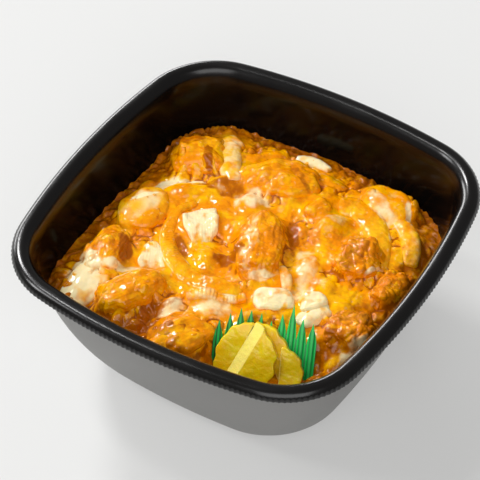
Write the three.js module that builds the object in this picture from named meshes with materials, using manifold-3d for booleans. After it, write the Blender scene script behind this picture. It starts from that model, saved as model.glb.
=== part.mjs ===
// A bowl of oyakodon: a square plastic takeaway bowl with round corners, filled with a heap
// of half-set egg in which pieces of chicken, onion and egg white lie, and in its front
// corner slices of yellow pickled radish in front of a green toothed divider.
// Millimetres, +Z up. The origin is the middle of the bowl's flat underside.

import * as THREE from "three";
import { mergeVertices } from "three/addons/utils/BufferGeometryUtils.js";
import Module from "manifold-3d";

const wasm = await Module();
wasm.setup();

// Driving dimensions of the bowl
const LIP_HALF = 85;
const LIP_SIDE_RADIUS = 302;
const LIP_CORNER_RADIUS = 36.7;
const RIM_WIDTH = 8.4;
const BOWL_HEIGHT = 71.2;
const BASE_HALF = 53.5;
const BASE_SIDE_RADIUS = 325;
const BASE_CORNER_RADIUS = 32.3;
const WALL = 1;
const WALL_BULGE = 4.6;
const BULGE_SINK = 0.31;
const SIDE_STEPS = 4;
const CORNER_STEPS = 6;

// Driving dimensions of the food
const GAP = 0.35;
const EDGE_HEIGHT = 40.5;
const LEFT_CORNER_RISE = 5;
const HEAP_RISE = 8;
const HEAP_RINGS = 9;
const CORNER_DIP = 9;
const CURD_COUNT = 54;
const MOST_BURIED = 0.3;
const BOXY = 2.5;
const SLICE_THICKNESS = 3.6;
const SLICE_TILT = 50;
const DIVIDER_START = [14.3, -54.1];
const DIVIDER_END = [54, -38.7];
const DIVIDER_FOOT = 38;
const DIVIDER_DEPTH = 4;
const DIVIDER_BOW = 0.8;
const DIVIDER_LEAN = [38, 42];
const DIVIDER_THICKNESS = 0.5;
const DIVIDER_FOLD = 0.4;
const TOOTH_TIPS = [19.7, 23.2, 26, 25.7, 25, 22.2, 25.6, 29.7, 24.3, 22.4];
const TOOTH_LENGTH = 8;

const INNER_EDGE_HALF = LIP_HALF - RIM_WIDTH;
const lerp = THREE.MathUtils.lerp;
const radians = THREE.MathUtils.degToRad;

const finish = (color, roughness) => new THREE.MeshStandardMaterial({ color, roughness, metalness: 0 });
const BLACK_PLASTIC = finish(0x1c1b1b, 0.3);
const SET_EGG = finish(0xf0a31a, 0.35);
const CHICKEN = finish(0xdc8d1e, 0.35);
const ONION = finish(0xf0d090, 0.3);
const EGG_WHITE = finish(0xf3e3c4, 0.25);
const RADISH = finish(0xdcb800, 0.3);
const GREEN_FILM = finish(0x12903c, 0.4);

// A repeatable series of numbers from 0 to 1
function seededNumbers(seed) {
  let state = seed;
  return () => {
    state = (state * 16807) % 2147483647;
    return state / 2147483647;
  };
}

// Solids and meshes

function toSolid(geometry) {
  const bare = geometry.clone();
  bare.deleteAttribute("normal");
  bare.deleteAttribute("uv");
  const merged = mergeVertices(bare, 1e-4);
  return new wasm.Manifold(
    new wasm.Mesh({
      numProp: 3,
      vertProperties: new Float32Array(merged.attributes.position.array),
      triVerts: new Uint32Array(merged.index.array),
    }),
  );
}

function toGeometry(solid) {
  const mesh = solid.getMesh();
  const geometry = new THREE.BufferGeometry();
  geometry.setAttribute("position", new THREE.BufferAttribute(new Float32Array(mesh.vertProperties), 3));
  geometry.setIndex(new THREE.BufferAttribute(new Uint32Array(mesh.triVerts), 1));
  return geometry;
}

// What a cut leaves loose is dropped, so that a piece stays one body.
function largestBody(solid) {
  return solid.decompose().reduce((best, body) => (body.volume() > best.volume() ? body : best));
}

function boxesMeet(first, second) {
  const a = first.boundingBox();
  const b = second.boundingBox();
  return [0, 1, 2].every((axis) => a.min[axis] < b.max[axis] && b.min[axis] < a.max[axis]);
}

// A closed skin over a row of rings, each a list of [x, y, z] that turns the same way
// about the direction of travel, with a fan over the first and the last ring.
function skin(rings) {
  const around = rings[0].length;
  const mean = (ring, axis) => ring.reduce((sum, point) => sum + point[axis], 0) / around;
  const middle = (ring) => [0, 1, 2].map((axis) => mean(ring, axis));
  const positions = [...rings.flat(), middle(rings[0]), middle(rings[rings.length - 1])];
  const first = rings.length * around;
  const last = first + 1;
  const index = [];
  for (let i = 0; i < around; i++) {
    const next = (i + 1) % around;
    index.push(first, next, i);
    for (let ring = 0; ring < rings.length - 1; ring++) {
      const low = ring * around;
      const high = low + around;
      index.push(low + i, low + next, high + next);
      index.push(low + i, high + next, high + i);
    }
    const top = (rings.length - 1) * around;
    index.push(last, top + i, top + next);
  }
  const geometry = new THREE.BufferGeometry();
  geometry.setAttribute("position", new THREE.Float32BufferAttribute(positions.flat(), 3));
  geometry.setIndex(index);
  return geometry;
}

// Turns, tilts and moves a shape that was made round the origin.
function placed(geometry, { at, turn = 0, tilt = 0, roll = 0 }) {
  geometry.rotateY(radians(roll));
  geometry.rotateX(radians(tilt));
  geometry.rotateZ(radians(turn));
  geometry.translate(...at);
  return geometry;
}

// The bowl

// One level of the bowl is a square with bowed sides and round corners.
function outline({ half, side, corner }) {
  const sideCentre = half - side;
  const reach = (side - corner) ** 2;
  const cornerCentre = (2 * sideCentre + Math.sqrt(8 * reach - 4 * sideCentre ** 2)) / 4;
  const sideTurn = Math.atan2(cornerCentre, cornerCentre - sideCentre);
  const points = [];
  for (let quarter = 0; quarter < 4; quarter++) {
    const cos = Math.round(Math.cos((quarter * Math.PI) / 2));
    const sin = Math.round(Math.sin((quarter * Math.PI) / 2));
    const add = (x, y) => points.push([x * cos - y * sin, x * sin + y * cos]);
    for (let i = 0; i < SIDE_STEPS; i++) {
      const angle = lerp(-sideTurn, sideTurn, i / SIDE_STEPS);
      add(sideCentre + side * Math.cos(angle), side * Math.sin(angle));
    }
    for (let i = 0; i < CORNER_STEPS; i++) {
      const angle = lerp(sideTurn, Math.PI / 2 - sideTurn, i / CORNER_STEPS);
      add(cornerCentre + corner * Math.cos(angle), cornerCentre + corner * Math.sin(angle));
    }
  }
  return points;
}

const RIM_FOOT = BOWL_HEIGHT - 3.6;
const WALL_LEVELS = [5, 18, 33, 50];
const BASE_ROUND = 3;

// The rim's levels are parallel to the lip.
function rimLevel(inset, z) {
  const half = LIP_HALF - inset;
  const side = LIP_SIDE_RADIUS - inset;
  const corner = LIP_CORNER_RADIUS - inset;
  return outline({ half, side, corner }).map(([x, y]) => [x, y, z]);
}

// The wall's levels blend from the base to the rim's foot and bulge in between, most of
// all low down. An inset gives the level as far inside the outer face.
function wallLevel(z, inset = 0) {
  const t = z / RIM_FOOT;
  const bulge = WALL_BULGE * 4 * t * (1 - t) * (1 + BULGE_SINK * (1 - 2 * t));
  const half = lerp(BASE_HALF, INNER_EDGE_HALF + 0.5, t) + bulge - inset;
  const side = lerp(BASE_SIDE_RADIUS, LIP_SIDE_RADIUS - RIM_WIDTH, t) - inset;
  const corner = lerp(BASE_CORNER_RADIUS, LIP_CORNER_RADIUS - RIM_WIDTH, t) - inset;
  return outline({ half, side, corner }).map(([x, y]) => [x, y, z]);
}

function bowlGeometry() {
  const middle = RIM_WIDTH / 2;
  const outside = [
    wallLevel(0, BASE_ROUND),
    wallLevel(0.7, 1),
    wallLevel(2.2, 0.2),
    ...WALL_LEVELS.map((z) => wallLevel(z)),
    wallLevel(RIM_FOOT - 0.6),
  ];
  const underRim = [
    rimLevel(middle + 2, BOWL_HEIGHT - 1.8),
    rimLevel(middle - 1.2, BOWL_HEIGHT - 1.6),
    rimLevel(WALL, BOWL_HEIGHT - 4),
    rimLevel(0, BOWL_HEIGHT - 4),
  ];
  const overRim = [
    rimLevel(0, BOWL_HEIGHT - 2.7),
    rimLevel(1, BOWL_HEIGHT - 1.3),
    rimLevel(2.5, BOWL_HEIGHT - 0.3),
    rimLevel(middle, BOWL_HEIGHT),
    rimLevel(RIM_WIDTH - 2.2, BOWL_HEIGHT - 0.5),
    rimLevel(RIM_WIDTH - 0.8, BOWL_HEIGHT - 1.6),
    rimLevel(RIM_WIDTH, BOWL_HEIGHT - 2.8),
  ];
  const inside = [
    wallLevel(RIM_FOOT, WALL),
    ...WALL_LEVELS.toReversed().map((z) => wallLevel(z, WALL)),
    wallLevel(2, WALL + 1),
    wallLevel(WALL, WALL + BASE_ROUND),
  ];
  return skin([...outside, ...underRim, ...overRim, ...inside]);
}

// A point a little inside the inner wall, in the column of one outline step.
// It follows the straight facets between the wall's levels.
const WALL_GRID = [...WALL_LEVELS, RIM_FOOT];
const WALL_RINGS = WALL_GRID.map((z) => wallLevel(z, WALL + GAP));

function wallPoint(column, z) {
  const step = Math.max(1, WALL_GRID.findIndex((height) => height >= z));
  const t = (z - WALL_GRID[step - 1]) / (WALL_GRID[step] - WALL_GRID[step - 1]);
  const low = WALL_RINGS[step - 1][column];
  const high = WALL_RINGS[step][column];
  return [lerp(low[0], high[0], t), lerp(low[1], high[1], t), z];
}

const COLUMNS = WALL_RINGS[0].map((point, column) => column);

// What the bowl holds near its floor
const FLOOR_RINGS = [
  wallLevel(WALL + GAP, WALL + BASE_ROUND + GAP),
  wallLevel(2.6, WALL + 1 + GAP),
];

// All that the bowl can hold, up to well above the rim
function cavityGeometry() {
  return skin([...FLOOR_RINGS, ...WALL_RINGS, rimLevel(RIM_WIDTH + 1, BOWL_HEIGHT + 20)]);
}

// The heap of egg

const EDGE = COLUMNS.map((column) => wallPoint(column, EDGE_HEIGHT));

// How far out a point of the plan lies: 0 in the middle and 1 at the wall
function fractionAt(x, y) {
  const shares = EDGE.map(([ax, ay], i) => {
    const [bx, by] = EDGE[(i + 1) % EDGE.length];
    return (x * (by - ay) - y * (bx - ax)) / (ax * by - ay * bx);
  });
  return Math.max(...shares);
}

// The heap meets the wall a little higher in the left corner.
function edgeHeight(x, y) {
  const fromLeftCorner = Math.atan2(x - y, -x - y);
  const wave = 0.9 * Math.sin(3 * fromLeftCorner + 1) + 0.6 * Math.sin(7 * fromLeftCorner);
  return EDGE_HEIGHT + LEFT_CORNER_RISE * Math.exp(-((fromLeftCorner / 0.45) ** 2)) + wave;
}

// Soft swells about as wide as the pieces that lie in the egg
function swell(x, y) {
  return (
    1.1 * Math.sin(x / 6.1 + 1.3 * Math.sin(y / 9.7)) * Math.cos(y / 7.3 + 0.6) +
    0.8 * Math.sin(x / 3.9 - y / 4.7 + 2) +
    0.5 * Math.cos(x / 2.9 + y / 5.1)
  );
}

// The way that the divider's foot runs, and the way that its front faces
const DIVIDER_TURN = THREE.MathUtils.radToDeg(
  Math.atan2(DIVIDER_END[1] - DIVIDER_START[1], DIVIDER_END[0] - DIVIDER_START[0]),
);
const ALONG = [Math.cos(radians(DIVIDER_TURN)), Math.sin(radians(DIVIDER_TURN))];
const FRONT = [ALONG[1], -ALONG[0]];

// In front of the divider the heap lies lower, to make room for the slices. The step down
// lies just behind the divider, which leans on it.
function cornerDip(x, y) {
  const ahead = FRONT[0] * (x - DIVIDER_START[0]) + FRONT[1] * (y - DIVIDER_START[1]);
  const beside = DIVIDER_START[0] - x;
  const step = THREE.MathUtils.smoothstep(ahead, -12, -1);
  return CORNER_DIP * step * (1 - THREE.MathUtils.smoothstep(beside, 0, 8));
}

function heapHeight(x, y) {
  const fraction = Math.min(1, fractionAt(x, y));
  const edge = lerp(EDGE_HEIGHT, edgeHeight(x, y), fraction ** 3);
  const dome = HEAP_RISE * (1 - fraction ** 4);
  return edge + dome + (swell(x, y) - cornerDip(x, y)) * (1 - fraction ** 6);
}

function heapGeometry() {
  const contact = EDGE.map(([x, y], column) => wallPoint(column, edgeHeight(x, y)));
  const top = [];
  for (let i = 1; i < HEAP_RINGS; i++) {
    const fraction = 1 - i / HEAP_RINGS;
    const inward = EDGE.map(([x, y]) => [x * fraction, y * fraction]);
    top.push(inward.map(([x, y]) => [x, y, heapHeight(x, y)]));
  }
  const below = WALL_RINGS.filter((ring) => ring[0][2] < 35);
  return skin([...FLOOR_RINGS, ...below, contact, ...top]);
}

// Pieces of food. Each maker takes a piece's sizes and an extra growth on all sides,
// which gives the pocket that its neighbours leave round it. A place is a point of the
// plan, and the piece is sunk there in the heap by a share of its height.

function settled([x, y], height, sunk) {
  return [x, y, heapHeight(x, y) + (0.5 - sunk) * height];
}

// A rough lump: a rounded box whose surface swells and dips
function lump({ at, size, sunk = 0.42, seed = 1, rough = 0.07, small, ...turns }, grow = 0) {
  const geometry = small ? new THREE.DodecahedronGeometry(1) : new THREE.IcosahedronGeometry(1, 1);
  const position = geometry.attributes.position;
  const v = new THREE.Vector3();
  for (let i = 0; i < position.count; i++) {
    v.fromBufferAttribute(position, i).normalize();
    const powers = v.toArray().reduce((sum, share) => sum + Math.abs(share) ** BOXY, 0);
    const round = powers ** (-1 / BOXY);
    const bumps =
      Math.sin(3.1 * v.x + 1.7 * seed) * Math.sin(3.7 * v.y - 2.3 * seed) +
      0.7 * Math.sin(5.3 * v.z + 4.1 * v.x + seed) +
      0.5 * Math.sin(7.1 * v.y - 5.9 * v.z + 3 * seed);
    const radius = round * (1 + rough * bumps);
    position.setXYZ(
      i,
      v.x * radius * (size[0] / 2 + grow),
      v.y * radius * (size[1] / 2 + grow),
      v.z * radius * (size[2] / 2 + grow),
    );
  }
  return placed(geometry, { at: settled(at, size[2], sunk), ...turns });
}

// A slice of an onion layer: a slab that curls about its width, with soft corners
function slab({ at, size, sunk = 0.2, curl = 30, wave = 0.4, ...turns }, grow = 0) {
  const [length, width, thickness] = size;
  const geometry = new THREE.BoxGeometry(
    length + 2 * grow,
    width + 2 * grow,
    thickness + 2 * grow,
    5,
    2,
    1,
  );
  const position = geometry.attributes.position;
  for (let i = 0; i < position.count; i++) {
    const along = position.getX(i) / (length / 2);
    const across = position.getY(i) / (width / 2);
    const corner = 1 - 0.16 * along ** 2 * across ** 2;
    const edge = 1 - 0.25 * Math.max(Math.abs(along), Math.abs(across)) ** 4;
    const x = position.getX(i) * corner;
    const y = position.getY(i) * corner * (1 + 0.06 * Math.sin(3 * along));
    const lift = -(x ** 2) / (2 * curl) + wave * Math.sin(2.4 * along + 1.9 * across);
    position.setXYZ(i, x, y, position.getZ(i) * Math.max(edge, 0.6) + lift);
  }
  return placed(geometry, { at: settled(at, thickness, sunk), ...turns });
}

// A curved strip along a line of points, oval in section and thinner towards its ends
function strip({ path, width, height, sunk = 0.38, sides = 6, steps = 11 }, grow = 0) {
  const points = path.map((point) => new THREE.Vector3(...settled(point, height, sunk)));
  const curve = new THREE.CatmullRomCurve3(points);
  const up = new THREE.Vector3(0, 0, 1);
  const rings = [];
  for (let i = 0; i <= steps; i++) {
    const t = i / steps;
    const centre = curve.getPointAt(t);
    const along = curve.getTangentAt(t);
    if (i === 0) centre.addScaledVector(along, -grow);
    if (i === steps) centre.addScaledVector(along, grow);
    const across = new THREE.Vector3().crossVectors(up, along).normalize();
    const rise = new THREE.Vector3().crossVectors(along, across);
    const taper = 0.45 + 0.55 * Math.sin(Math.PI * lerp(0.08, 0.92, t)) ** 0.6;
    rings.push(
      Array.from({ length: sides }, (_, side) => {
        const angle = (2 * Math.PI * (side + 0.5)) / sides;
        return centre
          .clone()
          .addScaledVector(across, Math.cos(angle) * ((width / 2) * taper + grow))
          .addScaledVector(rise, Math.sin(angle) * ((height / 2) * taper + grow))
          .toArray();
      }),
    );
  }
  return skin(rings);
}

// A flat outline, turning left, moved outwards on all sides
function grownOutline(points, distance) {
  const count = points.length;
  return points.map((point, i) => {
    const before = points[(i + count - 1) % count];
    const after = points[(i + 1) % count];
    const tangent = new THREE.Vector2(after[0] - before[0], after[1] - before[1]).normalize();
    return new THREE.Vector2(point[0] + tangent.y * distance, point[1] - tangent.x * distance);
  });
}

// A slice of pickled radish: half a round slice, with a wavy skin and one straight cut.
// All slices lean back like the divider.
function radishSlice({ at, chord, reach, spin }, grow = 0) {
  const steps = 14;
  const half = Array.from({ length: steps + 1 }, (_, i) => {
    const angle = (Math.PI * i) / steps;
    const wavy = 1 + 0.025 * Math.sin(9 * angle) + 0.02 * Math.sin(15 * angle + 1);
    return [(chord / 2) * Math.cos(angle) * wavy, (reach * Math.sin(angle) - reach / 2) * wavy];
  });
  const shape = new THREE.Shape(grownOutline(half, 1.3 * grow));
  const depth = SLICE_THICKNESS + 2 * grow;
  const geometry = new THREE.ExtrudeGeometry(shape, { depth, bevelEnabled: false });
  geometry.translate(0, 0, -depth / 2);
  geometry.rotateZ(radians(spin));
  return placed(geometry, { at, tilt: SLICE_TILT, turn: DIVIDER_TURN });
}

// The divider: a folded sheet that stands on a slightly bowed line and leans back on the
// egg. Its upper edge is cut into pointed teeth, and its foot is sunk in the heap.
function divider(sizes, grow = 0) {
  const columns = grow > 0 ? 4 : 2 * TOOTH_TIPS.length;
  const thickness = grow > 0 ? DIVIDER_THICKNESS + 2 * DIVIDER_FOLD + 2 * grow : DIVIDER_THICKNESS;
  const length = Math.hypot(DIVIDER_END[0] - DIVIDER_START[0], DIVIDER_END[1] - DIVIDER_START[1]);
  const shoulder = (column) => {
    const left = TOOTH_TIPS[Math.max(0, Math.ceil(column / 2) - 1)];
    const right = TOOTH_TIPS[Math.min(TOOTH_TIPS.length - 1, Math.floor(column / 2))];
    return Math.min(left, right) - TOOTH_LENGTH;
  };
  const sheetPoint = (column, reach, side) => {
    const t = column / columns;
    const fold = (column % 2 === 0 ? -1 : 1) * (grow > 0 ? 0 : DIVIDER_FOLD);
    const tilt = radians(lerp(...DIVIDER_LEAN, t));
    const shift = t * length + (2 * t - 1) * grow;
    const forward = DIVIDER_BOW * 4 * t * (1 - t) + fold + (side * thickness) / 2;
    const back = forward - Math.sin(tilt) * reach;
    return [
      DIVIDER_START[0] + ALONG[0] * shift + FRONT[0] * back,
      DIVIDER_START[1] + ALONG[1] * shift + FRONT[1] * back,
      DIVIDER_FOOT + Math.cos(tilt) * reach,
    ];
  };
  const rings = [];
  for (let column = 0; column <= columns; column++) {
    const tip = column % 2 === 1 ? TOOTH_TIPS[(column - 1) / 2] : shoulder(column) + 0.5;
    const reaches =
      grow > 0
        ? [-DIVIDER_DEPTH - grow, Math.max(...TOOTH_TIPS) + grow]
        : [-DIVIDER_DEPTH, 4, shoulder(column), tip];
    const behind = reaches.map((reach) => sheetPoint(column, reach, -1));
    const ahead = reaches.toReversed().map((reach) => sheetPoint(column, reach, 1));
    rings.push([...behind, ...ahead]);
  }
  return skin(rings);
}

// What lies in the bowl, from the top down: a later piece gives way to the earlier ones.
// Turns are in degrees, and places and paths are points of the plan.
const SLICES = {
  radish_slice_1: { at: [33.1, -50.8, 44.9], chord: 31.7, reach: 16.9, spin: -115 },
  radish_slice_2: { at: [47.3, -44.7, 42.7], chord: 21, reach: 9.6, spin: -89 },
  radish_slice_3: { at: [20.4, -48.8, 46.1], chord: 27.6, reach: 9.9, spin: 71 },
  radish_slice_4: { at: [38.1, -40.4, 47.9], chord: 26.7, reach: 9.1, spin: -60 },
};

const ONION_SLABS = {
  onion_fold: { at: [-23.2, 0.6], size: [19, 13.5, 4], turn: -52, roll: 12, curl: 18 },
  onion_square: { at: [-33.4, -23.8], size: [16, 11, 3.4], turn: 123, roll: -8 },
  onion_block_front: { at: [23.9, -19.2], size: [17, 12, 6], turn: 30, roll: 4 },
  onion_block_right: { at: [38.9, -12], size: [11, 10, 5], turn: 40, roll: 6 },
};

const ONION_STRIPS = {
  onion_ring: {
    path: [
      ...[[-34.3, 14.1], [-38.2, 5.6], [-36.5, -5.7], [-30.9, -15.2]],
      ...[[-22.5, -22.1], [-12.1, -25.6], [-0.9, -25.4], [10.3, -21.5]],
    ],
    width: 10,
    height: 6,
  },
  onion_column: {
    path: [[-39.5, 57.2], [-41.1, 51.3], [-35.3, 41.1], [-25.7, 30.6]],
    width: 9,
    height: 7,
    steps: 8,
  },
  onion_sliver: { path: [[17.4, -2.6], [22.2, -6.5], [26, -12]], width: 5, height: 4, steps: 6 },
  onion_crescent: {
    path: [[19.2, 42.7], [25.6, 47.1], [35, 43.6], [43.9, 35.3], [50.6, 23.1], [51.2, 8.4]],
    width: 8,
    height: 6,
  },
  onion_curve_right: {
    path: [[45.3, 49], [51.6, 45.4], [57.5, 38.1], [61.5, 29.5]],
    width: 9,
    height: 7,
    steps: 8,
  },
  onion_strip_back: { path: [[-12.6, 60.8], [-5.2, 62.2], [4.3, 61.7]], width: 6, height: 5, steps: 6 },
};

const EGG_STRIPS = {
  egg_strip: { path: [[-8.5, -36.1], [-2.2, -31.3], [5.3, -27.8], [12.6, -22.8]], width: 6, height: 5 },
};

const EGG_WHITES = {
  egg_white_left: { at: [-52.1, -1.7], size: [26, 19, 10], turn: 86, rough: 0.02 },
  egg_white_front_left: { at: [-48.6, -52.6], size: [22, 15, 8], turn: 90, rough: 0.04, seed: 2 },
  egg_white_front_right: { at: [41.9, -17.3], size: [16, 9, 7], turn: 61, rough: 0.05, seed: 3 },
};

const CHICKEN_LUMPS = {
  chicken_back: { at: [-9.2, 42], size: [33, 21, 14], turn: 28, tilt: 8, seed: 4 },
  chicken_back_left: { at: [-48.7, 38.3], size: [25, 22, 15], turn: 32, seed: 5 },
  chicken_centre: { at: [4.2, 3], size: [38, 21, 16], turn: 114, seed: 6 },
  chicken_right: { at: [42.8, 17.8], size: [23, 18, 15], turn: 100, seed: 7, rough: 0.1 },
  chicken_left: { at: [-29.2, -46.2], size: [30, 17, 15], turn: 57, seed: 8, rough: 0.04 },
  chicken_far_left: { at: [-50.7, -31.3], size: [24, 16, 13], turn: 94, seed: 9 },
  chicken_front_left: { at: [-0.5, -55], size: [26, 20, 12], turn: 57, seed: 10 },
  chicken_back_right: { at: [36.2, 55.7], size: [27, 19, 11], turn: -8, seed: 11, rough: 0.04 },
  chicken_front_right: { at: [57.6, -16.6], size: [22, 15, 13], turn: 62, seed: 12, rough: 0.1 },
  chicken_right_edge: { at: [60.5, 13], size: [20, 12, 11], turn: 85, seed: 13, rough: 0.1 },
  chicken_bit: { at: [13, 35.3], size: [13, 10, 8], turn: 60, seed: 14, small: true },
};

const KINDS = [
  [{ leaf_divider: {} }, divider, GREEN_FILM],
  [SLICES, radishSlice, RADISH],
  [ONION_SLABS, slab, ONION],
  [ONION_STRIPS, strip, ONION],
  [EGG_STRIPS, strip, SET_EGG],
  [EGG_WHITES, lump, EGG_WHITE],
  [CHICKEN_LUMPS, lump, CHICKEN],
];

const bowl = toSolid(bowlGeometry());
const cavity = toSolid(cavityGeometry());

const solids = [];
const pockets = [];
for (const [pieces, make, material] of KINDS) {
  for (const [name, sizes] of Object.entries(pieces)) {
    let solid = toSolid(make(sizes)).intersect(cavity);
    for (const pocket of pockets) {
      if (boxesMeet(pocket, solid)) solid = solid.subtract(pocket);
    }
    pockets.push(toSolid(make(sizes, GAP)));
    solids.push([name, material, largestBody(solid)]);
  }
}

// Curds stand out of the heap all over, on a sunflower's spiral. One that would lie
// mostly in a piece's pocket or before the divider is left out.
function addCurds(core) {
  const random = seededNumbers(71);
  const goldenAngle = Math.PI * (3 - Math.sqrt(5));
  let heap = core;
  for (let i = 0; i < CURD_COUNT; i++) {
    const angle = i * goldenAngle + 0.5 * random();
    const direction = [Math.cos(angle), Math.sin(angle)];
    const reach = Math.sqrt((i + 0.5) / CURD_COUNT) / fractionAt(...direction);
    const length = 8 + 5 * random();
    const curd = {
      at: direction.map((share) => share * reach),
      size: [length, length * (0.7 + 0.3 * random()), 5 + 2 * random()],
      turn: 180 * random(),
      seed: i,
      rough: 0.1,
      small: true,
    };
    const solid = toSolid(lump(curd)).intersect(cavity);
    const buried = pockets
      .filter((pocket) => boxesMeet(pocket, solid))
      .reduce((sum, pocket) => sum + solid.intersect(pocket).volume(), 0);
    const inTheWay = buried > MOST_BURIED * solid.volume() || cornerDip(...curd.at) > 0.1;
    if (!inTheWay) heap = heap.add(solid);
  }
  return heap;
}

let heap = addCurds(toSolid(heapGeometry()));
for (const pocket of pockets) heap = heap.subtract(pocket);

const object = new THREE.Group();

function addNode(name, material, solid) {
  const mesh = new THREE.Mesh(toGeometry(solid), material);
  mesh.name = name;
  object.add(mesh);
}

addNode("bowl", BLACK_PLASTIC, bowl);
addNode("egg_heap", SET_EGG, largestBody(heap));
for (const [name, material, solid] of solids) addNode(name, material, solid);

export default object;
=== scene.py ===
"""The looks of a square takeaway bowl of oyakodon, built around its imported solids.

Sizes are millimetres, apart from those of finishes and lights, which are metres, and turns
are degrees unless a comment says radians. The place of a piece is a point of the plan, and
its height follows from the heap of egg that it lies in, as in the solids.
"""

from __future__ import annotations

import logging
import math
from collections.abc import Callable
from dataclasses import dataclass
from enum import Enum
from functools import partial

import bpy
import numpy as np
from mathutils import Matrix, Vector, noise
from mathutils.bvhtree import BVHTree

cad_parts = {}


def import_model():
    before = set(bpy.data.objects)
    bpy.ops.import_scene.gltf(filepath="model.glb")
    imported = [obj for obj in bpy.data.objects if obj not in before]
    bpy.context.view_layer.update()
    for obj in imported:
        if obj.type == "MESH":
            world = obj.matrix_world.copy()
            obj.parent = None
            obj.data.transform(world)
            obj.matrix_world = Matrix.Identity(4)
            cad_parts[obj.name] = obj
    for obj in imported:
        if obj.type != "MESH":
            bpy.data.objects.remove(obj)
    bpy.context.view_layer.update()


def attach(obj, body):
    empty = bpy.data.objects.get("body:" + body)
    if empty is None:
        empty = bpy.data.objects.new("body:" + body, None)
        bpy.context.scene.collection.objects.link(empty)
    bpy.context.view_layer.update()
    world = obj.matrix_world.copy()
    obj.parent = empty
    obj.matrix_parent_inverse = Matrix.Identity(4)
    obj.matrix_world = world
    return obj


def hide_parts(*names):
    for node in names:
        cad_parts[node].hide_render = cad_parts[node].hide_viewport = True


LOG = logging.getLogger("bowl_of_oyakodon")
MM = 0.001

Piece = bpy.types.Object
Material = bpy.types.Material
Socket = bpy.types.NodeSocket
Values = np.ndarray
Pair = tuple[float, float]
Triple = tuple[float, float, float]
Colour = tuple[float, float, float, float]


def smoothstep(values: Values, low: float, high: float) -> Values:
    """Rises smoothly from 0 at low to 1 at high."""
    share = np.clip((values - low) / (high - low), 0.0, 1.0)
    return share * share * (3.0 - 2.0 * share)


def blend(first: Values | float, second: Values | float, share: Values) -> Values:
    """Goes from first to second as share goes from 0 to 1."""
    return first + (second - first) * share


def linear(red: int, green: int, blue: int) -> Colour:
    """A display colour of 0 to 255 a channel as a scene colour.

    Args:
        red: The red channel.
        green: The green channel.
        blue: The blue channel.

    Returns:
        Linear red, green, blue and an alpha of 1.
    """
    parts = [channel / 255 for channel in (red, green, blue)]
    curve = [part / 12.92 if part < 0.04045 else ((part + 0.055) / 1.055) ** 2.4 for part in parts]
    return curve[0], curve[1], curve[2], 1.0


# Noise over many points

WANDER_START = np.array([17.3, 5.7, 9.1])
PILLOW_START = np.array([3.1, 11.9, 7.7])
CREASE_WIDTH = 0.5
BILLOW_GAIN = 2.2
BILLOW_TOP = 1.2
CURD_SIZES = (6.0, 2.7, 1.1)
CURD_HEIGHTS = (1.7, 0.3, 0.2)
CURD_CLUSTER = 0.35
CURD_WARP = 1.8
CURD_WARP_SCALE = 5.0


def wander(points: Values, scale: float, seed: float = 0.0) -> Values:
    """Soft noise from about -1 to 1.

    Args:
        points: One point a row, in millimetres.
        scale: The size of its swells, in millimetres.
        seed: Where in the noise it starts.

    Returns:
        One value a point.
    """
    moved = points / scale + WANDER_START * (seed + 1.0)
    return np.array([noise.noise(Vector(point)) for point in moved])


def billow(points: Values, scale: float, seed: float = 0.0) -> Values:
    """Rounded lumps with creases between them, from 0 in a crease to about 1."""
    return np.minimum(np.abs(wander(points, scale, seed)) * BILLOW_GAIN, BILLOW_TOP)


def pillows(points: Values, size: float, seed: float = 0.0) -> Values:
    """Packed cushions of about one size.

    Args:
        points: One point a row, in millimetres.
        size: The size of a cushion, in millimetres.
        seed: Where in the noise it starts.

    Returns:
        From 0 in the creases between them to 1 on top.
    """
    moved = points / size + PILLOW_START * (seed + 1.0)
    near = np.array([noise.voronoi(Vector(point))[0][:2] for point in moved])
    rise = np.clip((near[:, 1] - near[:, 0]) / CREASE_WIDTH, 0.0, 1.0)
    return 1.0 - (1.0 - rise) ** 2


def curdled(points: Values, seed: float = 0.0) -> Values:
    """The relief of scrambled egg: rounded curds of several sizes with deep creases.

    Args:
        points: One point a row, in millimetres.
        seed: Where in the noise it starts.

    Returns:
        From 0 in the creases to about 3 mm on the largest curds.
    """
    bend = [wander(points, CURD_WARP_SCALE, seed + number) for number in (1, 2, 3)]
    bent = points + CURD_WARP * np.column_stack(bend)
    large = pillows(bent, CURD_SIZES[0], seed + 4)
    middle = pillows(bent, CURD_SIZES[1], seed + 5)
    small = billow(bent, CURD_SIZES[2], seed + 6)
    clustered = CURD_HEIGHTS[1] + CURD_CLUSTER * large
    return CURD_HEIGHTS[0] * large + clustered * middle + CURD_HEIGHTS[2] * small


# Work on objects

SEAM_GAP = 0.002


def deselect_all() -> None:
    """Leaves nothing selected, in object mode."""
    if bpy.context.object and bpy.context.object.mode != "OBJECT":
        bpy.ops.object.mode_set(mode="OBJECT")
    bpy.ops.object.select_all(action="DESELECT")


def started(name: str, primitive: Callable[..., object], **settings: object) -> Piece:
    """Adds the primitive that a piece is then shaped from.

    Args:
        name: The piece's name.
        primitive: The operator that adds it.
        settings: Its size and its faces.

    Returns:
        The new piece, the only one that is selected.
    """
    deselect_all()
    primitive(**settings)
    piece = bpy.context.object
    piece.name = name
    piece.data.name = name
    return piece


def read_rows(collection: bpy.types.bpy_prop_collection, name: str, width: int = 3) -> Values:
    """Reads one value of every item.

    Args:
        collection: Vertices, normals or the values of an attribute.
        name: What is read of each.
        width: How many numbers it has.

    Returns:
        One item a row.
    """
    flat = np.empty(len(collection) * width)
    collection.foreach_get(name, flat)
    return flat.reshape(-1, width)


def coordinates(piece: Piece) -> Values:
    """The piece's vertices in millimetres, one a row."""
    return read_rows(piece.data.vertices, "co") / MM


def reshape_to(piece: Piece, points: Values) -> None:
    """Moves the piece's vertices to points in millimetres."""
    piece.data.vertices.foreach_set("co", (points * MM).ravel())
    piece.data.update()


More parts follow.
